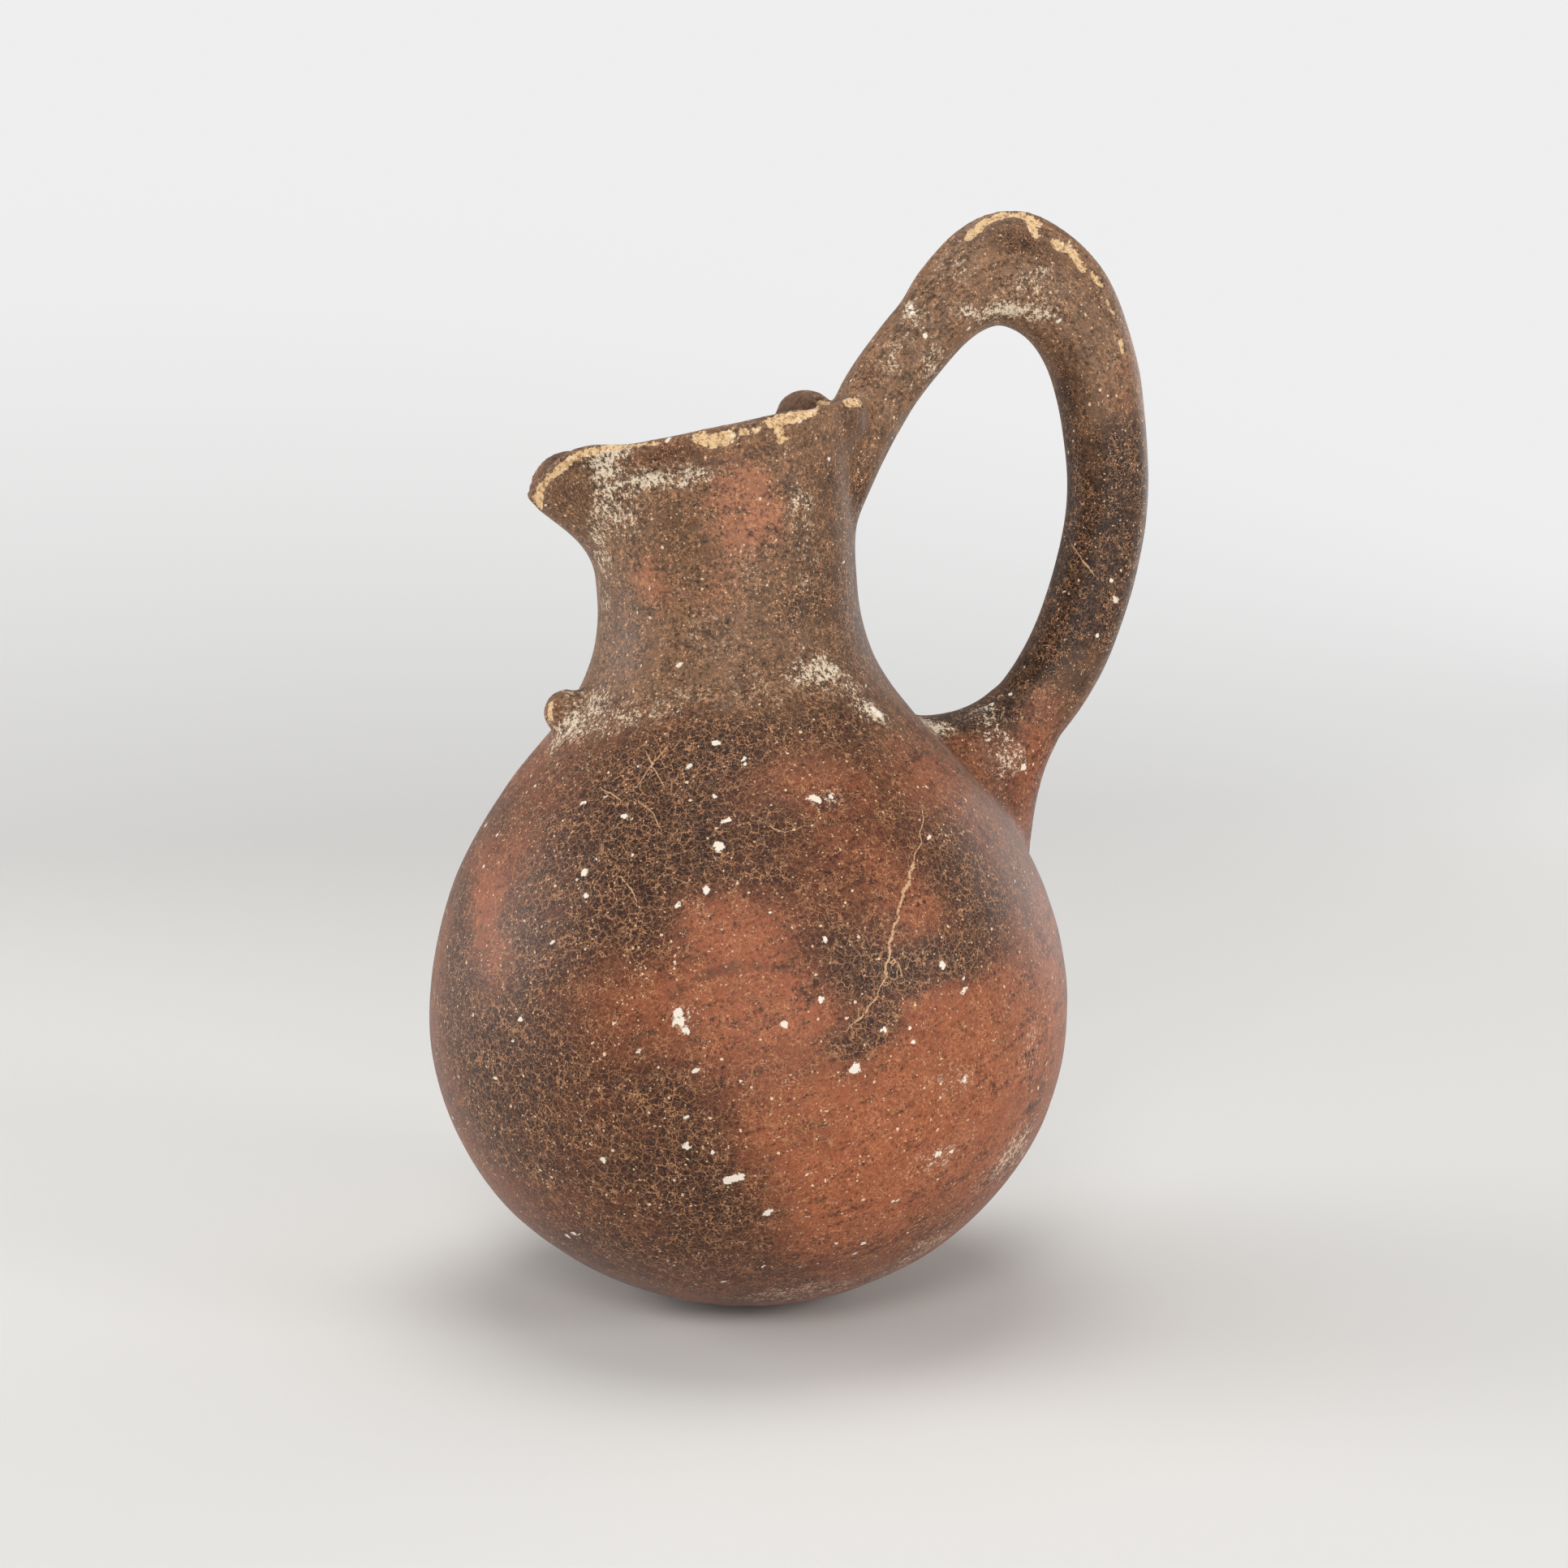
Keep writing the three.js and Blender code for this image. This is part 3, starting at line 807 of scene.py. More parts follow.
lime = [
    # under the spout and round the knob
    # the strips at 800, 590 and 850, 585 are lime and a painted highlight on the bulge under the
    # lip
    (745, 575, 3.5, 3, 0.9), (758, 552, 3, 2, 0.85), (800, 590, 7, 2, 0.7, 4),
    (850, 585, 4, 2, 0.5), (750, 620, 2.5, 4, 0.6), (740, 665, 2.2, 6, 0.55),
    (770, 640, 4, 4, 0.4), (745, 740, 2, 6, 0.3), (705, 850, 2.6, 3, 0.65),
    (712, 890, 5, 3, 0.7, 30), (735, 865, 3, 4, 0.5), (760, 885, 6, 3, 0.45, 10),
    (690, 910, 4, 2, 0.55, 35),
    # foot of the neck
    (1020, 828, 4, 3, 0.8), (995, 830, 3, 2.5, 0.7), (1075, 878, 3.5, 1.4, 0.95, -30),
    (1050, 850, 4, 2, 0.3, -20), (940, 840, 7, 3, 0.2), (880, 855, 7, 3, 0.18),
    (820, 870, 6, 3, 0.25), (960, 870, 7, 2.5, 0.15), (930, 700, 5, 5, 0.25),
    (985, 620, 2.6, 5, 0.45), (1000, 700, 4, 6, 0.25), (880, 780, 7, 5, 0.25),
    # handle
    (1240, 380, 6, 1.4, 0.95, 4), (1200, 388, 4, 1.2, 0.7, -12), (1285, 388, 3, 1.2, 0.7, 10),
    (1150, 445, 2, 4, 0.5, -30), (1120, 380, 1.2, 2, 0.6), (1130, 400, 3, 4, 0.4),
    (1180, 330, 6, 5, 0.25), (1265, 345, 6, 2, 0.35, 30), (1290, 360, 4, 3, 0.3),
    (1095, 440, 3, 4, 0.35), (1150, 893, 3.5, 1.2, 0.8, -10), (1215, 878, 3, 2, 0.5),
    (1245, 935, 3, 5, 0.5, -40), (1225, 905, 3, 3, 0.4),
    # body; the marks at 1235, 1435, at 1144, 1534, at 990, 1592 and at 1255, 1412
    # are painted sheen along the lower edges
    (1180, 1330, 6, 4, 0.3), (1150, 1430, 7, 3, 0.35, 20), (1270, 1300, 3, 6, 0.3),
    (1235, 1435, 7, 2, 0.4, 45), (1020, 985, 3, 2, 0.5), (845, 1252, 2.5, 2, 0.5),
    (1150, 900, 3, 2, 0.6, -30), (1144, 1534, 9, 3, 0.42, 32), (990, 1592, 14, 3, 0.42, 6),
    (1255, 1412, 4, 6, 0.42, -30),
]
print("smoke", len(smoke), "ember", len(ember), "lime", len(lime), "patches")

# %% [markdown]
# ## The side that the photograph doesn't show
# The back was fired in the same heap, so it gets clouds and patches of the same kind. Their
# places come from a fixed seed, so the jug looks the same each time the script runs.

# %% Marks on the far side
maker = np.random.default_rng(7)


def around(points, spots):
    """Soft ovals placed by their angle from the handle in degrees and their height in mm."""
    left = np.ones(len(points))
    for turn, height, wide, tall, strength in spots:
        radius = outer_radius(min(height, rim_height))
        centre = np.array([
            radius * math.cos(math.radians(turn)), radius * math.sin(math.radians(turn)), height])
        offset = (points - centre) / np.array([wide, wide, tall])
        left *= 1 - strength * np.exp(-FALL_OFF * (offset ** 2).sum(axis=1))
    return 1 - left


def far_spots(count, low, high, size):
    return [
        (maker.uniform(15, 165), maker.uniform(low, high), maker.uniform(*size),
         maker.uniform(*size) * 0.8, maker.uniform(0.5, 0.95))
        for _ in range(count)
    ]


far_smoke = far_spots(11, 12, 112, (9, 20))
far_ember = far_spots(9, 15, 100, (9, 20))
far_lime = far_spots(7, 20, 160, (4, 8))
print("far side:", len(far_smoke) + len(far_ember) + len(far_lime), "patches")

# %% [markdown]
# ## Chips, flakes and lines
# A chip is a shallow scar where the burnished skin broke off, so it is pressed into the mesh
# and shows pale clay. Flakes are small crusts. A crack is a line: the field holds the signed
# distance across it, which stays exact between the points of the mesh.

# %% Chips, flakes and cracks
chips = [
    # spout and rim
    (1.3, [(662, 622), (662, 606)]), (0.75, [(662, 606), (676, 590), (694, 574), (712, 561)]),
    (0.7, [(712, 561), (736, 554), (765, 549)]), (0.5, [(765, 549), (790, 547), (812, 544)]),
    (1.5, [(862, 538), (880, 543), (898, 538)]), (0.7, [(914, 533), (918, 532)]),
    (0.6, [(930, 530), (934, 529)]), (1.5, [(952, 517), (975, 512), (998, 504), (1014, 496)]),
    (1.0, [(958, 524), (964, 541)]), (1.1, [(1044, 496), (1058, 494)]),
    # knob
    (1.1, [(676, 870), (676, 884)]),
    # crest of the handle
    (0.9, [(1193, 292), (1204, 282), (1216, 272), (1230, 265)]),
    (1.2, [(1230, 265), (1246, 262), (1262, 265), (1278, 274)]), (0.9, [(1270, 276), (1276, 288)]),
    (1.3, [(1302, 300), (1318, 306), (1327, 318), (1333, 328)]), (0.8, [(1348, 338), (1357, 350)]),
    (0.6, [(1366, 372), (1372, 384)]), (0.45, [(1381, 420), (1384, 434)]),
    (0.5, [(1374, 736), (1376, 741)]),
]
flakes = {
    1.2: [(1054, 1316)],
    1.15: [(886, 1043)],
    1.1: [(838, 1258)],
    1.0: [(836, 1248), (897, 1454), (905, 1452), (1083, 880)],
    0.9: [(913, 1450), (847, 1412), (1076, 874)],
    0.8: [(845, 1270), (720, 1075), (770, 1005), (882, 916), (1000, 983), (1007, 986), (966, 1262),
        (1161, 1189), (1156, 1421), (870, 1097), (1261, 945), (1375, 739)],
    0.7: [(700, 1523), (707, 1520), (1023, 982), (722, 1104), (1012, 1232), (943, 1496),
        (949, 1492), (1188, 1330), (1089, 1269), (835, 1115), (1016, 1158), (743, 1429),
        (641, 1256)],
    0.6: [(918, 934), (917, 941), (881, 981), (898, 1010), (1172, 1419), (1100, 1480),
        (1064, 1532), (1030, 1532), (879, 1420), (1122, 378), (1124, 386), (1245, 855),
        (1222, 868)],
    0.5: [(830, 1262), (736, 1058), (779, 1054), (746, 982), (716, 991), (721, 989), (891, 1012),
        (788, 944), (995, 1499), (1018, 1455), (1186, 1223), (1190, 1218), (1120, 1267),
        (1125, 1284), (1289, 1311), (1279, 1340), (914, 1332), (899, 1269), (1352, 783),
        (1141, 970), (1369, 715), (1140, 414), (1021, 566), (940, 1560)],
    0.4: [(790, 820), (1300, 1150), (560, 1255)],
}
pale_lines = [
    (0.16, [(1136, 998), (1138, 1012), (1133, 1026), (1136, 1038), (1127, 1052), (1126, 1064)]),
    (0.46, [(1126, 1064), (1120, 1076), (1121, 1088), (1113, 1098), (1111, 1110)]),
    (0.32, [(1111, 1110), (1106, 1122), (1107, 1133), (1100, 1142), (1100, 1152)]),
    (0.38, [(1100, 1152), (1095, 1164), (1097, 1178), (1091, 1190), (1092, 1204)]),
    (0.2, [(1092, 1204), (1084, 1216), (1080, 1230), (1071, 1239), (1064, 1252), (1048, 1264)]),
    (0.15, [(1097, 1178), (1108, 1190), (1112, 1204)]),
    (0.13, [(796, 926), (803, 942), (818, 968)]), (0.13, [(820, 922), (803, 942), (788, 965)]),
    (0.28, [(1322, 673), (1334, 690), (1345, 704)]),
    (0.14, [(945, 1015), (955, 1022), (968, 1026), (980, 1022)]),
    (0.15, [(742, 973), (754, 978), (762, 985)]), (0.14, [(790, 990), (805, 1002), (812, 1018)]),
    (0.16, [(766, 1082), (778, 1096), (784, 1110)]),
]
dark_arcs_and_crease_shade = [
    (1.0, [(825, 1229), (842, 1217), (862, 1205), (884, 1196), (906, 1191), (935, 1190)]),
    (0.8, [(935, 1190), (965, 1193), (1015, 1202)]), (0.6, [(885, 1262), (930, 1262), (975, 1254)]),
    # painted shade in the crease under the rim; the lines above are dark arcs on the belly
    (0.6, [(762, 587), (810, 580), (860, 575), (930, 562), (1000, 548)]),
]


def near_line(points, line):
    """Distance to a line of points, and which of its stretches is nearest."""
    best = np.full(len(points), np.inf)
    which = np.zeros(len(points), int)
    for number, (start, end) in enumerate(zip(line, line[1:])):
        step = end - start
        share = np.clip((points - start) @ step / max(step @ step, 1e-9), 0, 1)
        far = np.linalg.norm(points - start - share[:, None] * step, axis=1)
        closer = far < best
        best[closer] = far[closer]
        which[closer] = number
    return best, which


def scars(points, marks):
    """How far each point lies outside the nearest scar, in mm; below zero is inside."""
    field = np.full(len(points), 5.0)
    for half_width, knots in marks:
        line = [seen(*knot) for knot in knots]
        field = np.minimum(field, near_line(points, line)[0] - half_width)
    return field


def crusts(points, marks):
    """How far each point lies from the middle of the nearest flake, in radii of that flake."""
    field = np.full(len(points), 4.0)
    for radius, middles in marks.items():
        for middle in middles:
            far = np.linalg.norm(points - seen(*middle), axis=1)
            field = np.minimum(field, far / radius)
    return field


def across_lines(points, normals, marks):
    """Signed distance across the nearest line, in half widths of that line."""
    field = np.full(len(points), 30.0)
    for half_width, knots in marks:
        line = [seen(*knot) for knot in knots]
        far, which = near_line(points, line)
        steps = np.array([end - start for start, end in zip(line, line[1:])])[which]
        starts = np.array(line)[which]
        side = np.einsum("ij,ij->i", np.cross(steps, normals), points - starts)
        ratio = np.where(side < 0, -far, far) / half_width
        closer = np.abs(ratio) < np.abs(field)
        field[closer] = ratio[closer]
    return np.clip(field, -30, 30)


print("chips", len(chips), "flakes", sum(len(middles) for middles in flakes.values()),
      "lines", len(pale_lines) + len(dark_arcs_and_crease_shade))

# %% [markdown]
# ## Cutting the skin at the seams
# The jug was put together from a bowl, a shoulder, a neck and a rim, and from the pieces that
# were stuck on. The skin is cut at the same seams. A bisect draws the three level seams on the
# wall, and each face gets the material of its piece. Separating by material then parts them.

# %% Number the faces
SEAMS = [belly_height, 109, 139]  # heights of the level seams
WALL_PIECES = ["body_lower", "body_upper", "neck", "rim_spout"]
ADDED_PIECES = list(added_trees)
PIECES = WALL_PIECES + ADDED_PIECES
STAND_OFF, ROLL_CLEAR = 0.75, 7


def added_piece(points):
    """The number of the added piece that each point belongs to, or -1 on the wall."""
    number_of = np.full(len(points), -1)
    depth = np.full(len(points), float(FAR))
    off = np.zeros(len(points))
    for number, name in enumerate(ADDED_PIECES):
        close = near_box(name, points, 5)
        off[close] = distance_to(wall_tree, points[close])
        away = distance_to(added_trees[name], points[close])
        stands = (off[close] > STAND_OFF) & (away < depth[close])
        depth[close[stands]] = away[stands]
        number_of[close[stands]] = number
    return number_of, off


def edge_ends(mesh):
    """The two points of every edge, the smaller number first."""
    return np.sort(read(mesh.edges, "vertices", int, 2), axis=1)


def added_of_faces(mesh):
    return read(mesh.attributes["added"].data, "value", int)


number_of, off_wall = added_piece(places(jug.data))
corners = read(jug.data.loops, "vertex_index", int)
starts = read(jug.data.polygons, "loop_start", int)
face_added = np.maximum.reduceat(number_of[corners], starts)
face_added[np.minimum.reduceat(number_of[corners], starts) < 0] = -1
corner_edge = read(jug.data.loops, "edge_index", int)
face_of_corner = np.repeat(np.arange(len(starts)), np.diff(np.append(starts, len(corners))))
beside = face_of_corner[np.argsort(corner_edge, kind="stable")].reshape(-1, 2)
ends = edge_ends(jug.data)


def hanging_together(wanted, seed):
    """The wanted faces that can be reached from the seed face, step by step."""
    reached = np.zeros(len(wanted), bool)
    reached[seed] = True
    links = beside[wanted[beside].all(axis=1)]
    while True:
        fresh = links[reached[links].any(axis=1)]
        if reached[fresh].all():
            return reached
        reached[fresh] = True


def give_away(lost):
    """Loose patches of a piece go to the piece beside them."""
    while lost.any():
        edges = beside[lost[beside].sum(axis=1) == 1]
        taken = lost[edges]
        face_added[edges[taken]] = face_added[edges[~taken]]
        lost[edges[taken]] = False


CLEANING_TURNS = 12
for turn in range(CLEANING_TURNS):
    changed = 0
    for number in range(-1, len(ADDED_PIECES)):
        own = face_added == number
        furthest = np.where(own, off_wall[corners[starts]] * (1 if number >= 0 else -1), -1e3)
        lost = own & ~hanging_together(own, int(furthest.argmax()))
        changed += int(lost.sum())
        give_away(lost)
    pinched = np.zeros(len(number_of), bool)
    for number in range(-1, len(ADDED_PIECES)):
        here = face_added[beside] == number
        uses = np.bincount(ends[here[:, 0] != here[:, 1]].ravel(), minlength=len(pinched))
        pinched |= uses > 2
    face_added[face_of_corner[pinched[corners]]] = -1
    if not pinched.any() and not changed:
        break
print("borders cleaned in", turn, "turns")
jug.data.attributes.new("added", "INT", "FACE").data.foreach_set("value", face_added)
print("faces of added pieces:", int((face_added >= 0).sum()), "of", len(face_added))

# %% Draw the level seams
for seam in SEAMS:
    take_up(jug)
    jug.data.polygons.foreach_set("select", added_of_faces(jug.data) < 0)
    bpy.ops.object.mode_set(mode="EDIT")
    bpy.ops.mesh.bisect(plane_co=(0, 0, seam * MM), plane_no=(0, 0, 1), threshold=0.000001)
    leave_edit()
face_added = added_of_faces(jug.data)
heights = read(jug.data.polygons, "center", width=3)[:, 2] / MM
level = np.searchsorted(SEAMS, heights)
face_piece = np.where(face_added >= 0, face_added + len(WALL_PIECES), level)
for name in PIECES:
    jug.data.materials.append(bpy.data.materials.new(name))
jug.data.polygons.foreach_set("material_index", face_piece)
print("faces per piece:", dict(zip(PIECES, np.bincount(face_piece).tolist())))

# %% [markdown]
# ## Fields on the skin
# Each mark becomes a number on every point of the mesh. The points near the handle also get
# their place along the roll, so that wiping marks can run along it. The normals of the whole
# skin are kept too: the cut pieces use them at their borders, so that no seam shows.

# %% Write the fields
def keep(mesh, name, values, kind="FLOAT"):
    field = "vector" if kind == "FLOAT_VECTOR" else "value"
    attribute = mesh.attributes.get(name) or mesh.attributes.new(name, kind, "POINT")
    attribute.data.foreach_set(field, np.asarray(values, dtype=np.float32).ravel())


points = places(jug.data)
normals = skin_normals(jug.data)
inside = np.array([wall_inside[wall_points.find(Vector(point))[1]] for point in points])
number_of, off_wall = added_piece(points)
on_roll = np.isin(number_of, [
    ADDED_PIECES.index(name) for name in ("handle", "handle_root_collar")])
roll_share = smooth_steps(off_wall, STAND_OFF, ROLL_CLEAR) * on_roll
roll_place = np.zeros((len(points), 3))
rolled = np.nonzero(roll_share > 0)[0]
line = [np.array(point) for point in handle_line[::4]]
steps = np.array([end - start for start, end in zip(line, line[1:])])
reach_at = np.concatenate([[0], np.cumsum(np.linalg.norm(steps, axis=1))])
far, which = near_line(points[rolled], line)
start, step = np.array(line)[which], steps[which]
length = np.linalg.norm(step, axis=1)
along = np.clip(np.einsum("ij,ij->i", points[rolled] - start, step) / length, 0, length)
up = np.stack([-step[:, 2], np.zeros(len(step)), step[:, 0]], axis=1) / length[:, None]
roll_place[rolled, 0] = reach_at[which] + along
roll_place[rolled, 1] = points[rolled, 1]
roll_place[rolled, 2] = np.einsum("ij,ij->i", points[rolled] - start, up)
keep(jug.data, "inside", inside)
keep(jug.data, "on_roll", roll_share)
keep(jug.data, "roll_place", roll_place, "FLOAT_VECTOR")
keep(jug.data, "skin_normal", normals, "FLOAT_VECTOR")
print("inside points:", int((inside > 0.5).sum()), "roll points:", len(rolled))

# %% Part the pieces
edit(jug, "SELECT")
bpy.ops.mesh.separate(type="MATERIAL")
leave_edit()
parts_now = [item for item in bpy.context.scene.objects if item.name.startswith("jug_skin")]
skins = {item.data.materials[0].name: item for item in parts_now}
for name, item in skins.items():
    item.name = "clay_" + name
    print(item.name, len(item.data.polygons), "faces")

# %% [markdown]
# ## Finer skin where the chips are
# The rim, the ears, the knob and the handle carry sharp little chips, so their faces are
# divided once more. Then each chip is pressed in by less than half a millimetre, and its floor
# is made crumbly. Points on a border stay where they are, so that neighbours still meet.

# %% Divide and press in the chips
CHIP_DEPTH, CHIP_UNEVENNESS, FLAKE_HEIGHT = 0.45, 0.16, 0.14


def open_edges(piece):
    """The pairs of points between which a piece is open."""
    edit(piece, "DESELECT", "EDGE")
    bpy.ops.mesh.select_non_manifold(
        use_wire=False, use_multi_face=False, use_non_contiguous=False, use_verts=False)
    leave_edit()
    return edge_ends(piece.data)[read(piece.data.edges, "select", bool)]


for name in ("rim_spout", "handle", "front_knob", "near_ear", "far_ear"):
    edit(skins[name], "SELECT")
    bpy.ops.mesh.subdivide(number_cuts=1)
    leave_edit()
for name, item in skins.items():
    mesh = item.data
    points = places(mesh)
    stored = stored_normals(mesh)
    scar = scars(points, chips)
    crust = crusts(points, flakes)
    keep(mesh, "scar", scar)
    keep(mesh, "crust", crust)
    keep(mesh, "pale_line", across_lines(points, stored, pale_lines))
    keep(mesh, "dark_line", across_lines(points, stored, dark_arcs_and_crease_shade))
    adrift = points + drift(points)
    for field, near_side, far_side in (
        ("smoke", patches(adrift, smoke), around(adrift, far_smoke)),
        ("ember", patches(adrift, ember), around(adrift, far_ember)),
        ("lime", patches(points, lime), 0.5 * around(adrift, far_lime)),
    ):
        keep(mesh, field, 1 - (1 - near_side) * (1 - far_side))
    border = np.zeros(len(points), bool)
    border[open_edges(item).ravel()] = True
    crumble = wobble(points, 1.1, 5) * 0.5 + wobble(points, 2.6, 6) * 0.8
    inward = smooth_steps(-scar + crumble * 0.9, -0.25, 0.35)
    inward *= CHIP_DEPTH + CHIP_UNEVENNESS * crumble
    raised = smooth_steps(-crust, -1, -0.5) * FLAKE_HEIGHT
    move_to(mesh, points + stored * ((raised - inward) * ~border)[:, None])
    fresh = skin_normals(mesh)
    fresh[border] = stored[border]
    keep(mesh, "skin_normal", fresh / np.linalg.norm(fresh, axis=1)[:, None], "FLOAT_VECTOR")
    print(name, "chipped points:", int((inward > 0.2).sum()), "border points:", int(border.sum()))

# %% [markdown]
# ## Closing each piece
# A parted piece is open where it met its neighbours. At a level seam the opening is a ring
# between two circles; at the seat of a coil or pellet it is one loop. Each opening is filled,
# so that every piece is a whole body of clay. Where a seat crosses a level seam, one short
# line first parts the two openings.

# %% Close the openings
SEAT_DEPTH, ARC_POINTS, ON_SEAM = 1.6, 9, 0.004


def fill_between(piece, pairs, to_middle=False):
    """Fill the flat ring between open edges, or draw a loop together deeper in the clay."""
    ends = edge_ends(piece.data)
    size = len(piece.data.vertices)
    wanted = np.isin(ends[:, 0] * size + ends[:, 1], pairs[:, 0] * size + pairs[:, 1])
    deselect_all()
    for layer in (piece.data.vertices, piece.data.polygons):
        layer.foreach_set("select", np.zeros(len(layer), bool))
    piece.data.vertices.foreach_set("select", np.isin(np.arange(size), ends[wanted]))
    piece.data.edges.foreach_set("select", wanted)
    piece.select_set(True)
    bpy.context.view_layer.objects.active = piece
    bpy.ops.object.mode_set(mode="EDIT")
    bpy.ops.mesh.select_mode(type="EDGE")
    if to_middle:
        bpy.ops.mesh.extrude_edges_move()
        bpy.ops.object.mode_set(mode="OBJECT")
        chosen = read(piece.data.vertices, "select", bool)
        deeper = places(piece.data) - stored_normals(piece.data) * (SEAT_DEPTH * chosen)[:, None]
        move_to(piece.data, deeper)
        bpy.ops.object.mode_set(mode="EDIT")
        bpy.ops.mesh.extrude_edges_move()
        bpy.ops.mesh.merge(type="CENTER")
    else:
        bpy.ops.mesh.fill(use_beauty=True)
    leave_edit()


def join_points(piece, first, second):
    """Draw an arc round the pot's middle line between two points of one level."""
    edit(piece, "DESELECT", "VERT")
    leave_edit()
    old = len(piece.data.vertices)
    piece.data.vertices[first].select = piece.data.vertices[second].select = True
    bpy.ops.object.mode_set(mode="EDIT")
    bpy.ops.mesh.edge_face_add()
    bpy.ops.mesh.subdivide(number_cuts=ARC_POINTS)
    leave_edit()
    spots = places(piece.data)
    fresh = np.arange(old, old + ARC_POINTS)
    shares = np.linalg.norm(spots[fresh] - spots[first], axis=1)
    shares /= np.linalg.norm(spots[second] - spots[first])
    ends = spots[[first, second]]
    radius = np.interp(shares, [0, 1], np.hypot(ends[:, 0], ends[:, 1]))
    turn = np.interp(shares, [0, 1], np.arctan2(ends[:, 1], ends[:, 0]))
    spots[fresh, 0], spots[fresh, 1] = radius * np.cos(turn), radius * np.sin(turn)
    move_to(piece.data, spots)
    chain = [first, *fresh[np.argsort(shares)].tolist(), second]
    return [sorted(pair) for pair in zip(chain, chain[1:])]


def loops_of(pairs):
    """Sort open edges into loops that hang together."""
    home = {}

    def root_of(point):
        while home.setdefault(point, point) != point:
            point = home[point]
        return point

    for first, second in pairs.tolist():
        home[root_of(first)] = root_of(second)
    roots = np.array([root_of(first) for first in pairs[:, 0].tolist()])
    return [pairs[roots == one] for one in np.unique(roots)]


def close_up(piece):
    pairs = open_edges(piece)
    for seam in SEAMS:
        height = places(piece.data)[:, 2]
        at_seam = (np.abs(height[pairs] - seam) < ON_SEAM).all(axis=1)
        if not at_seam.any():
            continue
        level_edges, other = pairs[at_seam], pairs[~at_seam]
        points_now, uses = np.unique(level_edges, return_counts=True)
        corners = points_now[(uses == 1) & np.isin(points_now, other)]
        spots = places(piece.data)[corners]
        corners = corners[np.argsort(np.arctan2(spots[:, 1], spots[:, 0]))].tolist()
        chords = []
        for first, second in zip(corners[::2], corners[1::2]):
            chords += join_points(piece, first, second)
        if chords:
            level_edges = np.concatenate([level_edges, chords])
            other = np.concatenate([other, chords])
        fill_between(piece, level_edges)
        pairs = other
    for loop in loops_of(pairs) if len(pairs) else []:
        fill_between(piece, loop, to_middle=True)


def turn_outwards(piece):
    """All faces agree with each other now; the topmost point tells whether they face outwards."""
    heights = places(piece.data)[:, 2]
    if skin_normals(piece.data)[heights.argmax(), 2] < 0:
        edit(piece, "SELECT")
        bpy.ops.mesh.flip_normals()
        leave_edit()
        print(piece.name, "turned outwards")


for name, item in skins.items():
    mesh = item.data
    skin_faces = len(mesh.polygons)
    close_up(item)
    edit(item, "SELECT")
    bpy.ops.mesh.normals_make_consistent(inside=False)
    leave_edit()
    turn_outwards(item)
    left = len(open_edges(item))
    corner_normal = stored_normals(mesh)[read(mesh.loops, "vertex_index", int)]
    corners_of = read(mesh.polygons, "loop_total", int)
    flat = np.repeat(np.arange(len(mesh.polygons)) >= skin_faces, corners_of)
    face_normal = read(mesh.polygons, "normal", width=3)
    corner_normal[flat] = np.repeat(face_normal, corners_of, axis=0)[flat]
    mesh.normals_split_custom_set(corner_normal.tolist())
    triangles = int((corners_of - 2).sum())
    print(name, triangles, "triangles,", len(mesh.polygons) - skin_faces, "filled,", left, "open")

# %% [markdown]
# ## Wiring the clay
# A material is a small machine of nodes. Writing it as sums and products keeps it readable:
# each value is a wire, and adding or multiplying two wires places a Math node between them.

# %% Wires
def tint(red, green, blue):
    """A colour as a screen shows it, turned into the plain amounts of light nodes work with."""
    linear = [((value / 255 + 0.055) / 1.055) ** 2.4 for value in (red, green, blue)]
    return (*linear, 1)


class Wire:
    """One value on its way through the nodes of a material."""

    tree = None

    def __init__(self, socket):
        self.socket = socket

    @classmethod
    def node(cls, kind, settings, wires, output=0):
        made = cls.tree.nodes.new(kind)
        for name, value in settings.items():
            setattr(made, name, value)
        for name, value in wires.items():
            if isinstance(value, Wire):
                cls.tree.links.new(value.socket, made.inputs[name])
            else:
                made.inputs[name].default_value = value
        return cls(made.outputs[output])

    @classmethod
    def math(cls, operation, *values):
        return cls.node("ShaderNodeMath", {"operation": operation}, dict(enumerate(values)))

    def __add__(self, other):
        return Wire.math("ADD", self, other)

    def __sub__(self, other):
        return Wire.math("SUBTRACT", self, other)

    def __rsub__(self, other):
        return Wire.math("SUBTRACT", other, self)

    def __mul__(self, other):
        return Wire.math("MULTIPLY", self, other)

    def __pow__(self, other):
        return Wire.math("POWER", self, other)

    def output(self, number):
        return Wire(self.socket.node.outputs[number])

    __radd__ = __add__
    __rmul__ = __mul__

    def rise(self, low, high):
        """0 below low, 1 above high, smooth between; low may be the larger one."""
        wires = {"Value": self, "From Min": low, "From Max": high}
        return Wire.node("ShaderNodeMapRange", {"interpolation_type": "SMOOTHSTEP"}, wires)

    def over(self, below, share, kind="MIX"):
        """This colour laid over another one."""
        settings = {"data_type": "RGBA", "blend_type": kind}
        return Wire.node("ShaderNodeMix", settings, {0: share, 6: below, 7: self}, 2)


def paint(red, green, blue):
    wire = Wire.node("ShaderNodeRGB", {}, {})
    wire.socket.default_value = tint(red, green, blue)
    return wire


def field(name, output=2):
    return Wire.node("ShaderNodeAttribute", {"attribute_name": name}, {}, output)


def grain(place, size, detail=2, rough=0.5, output=0):
    wires = {"Vector": place, "Scale": 1 / size, "Detail": detail, "Roughness": rough}
    return Wire.node("ShaderNodeTexNoise", {}, wires, output)


def cells(place, size, feature="F1", output=0):
    wires = {"Vector": place, "Scale": 1 / size}
    return Wire.node("ShaderNodeTexVoronoi", {"feature": feature}, wires, output)


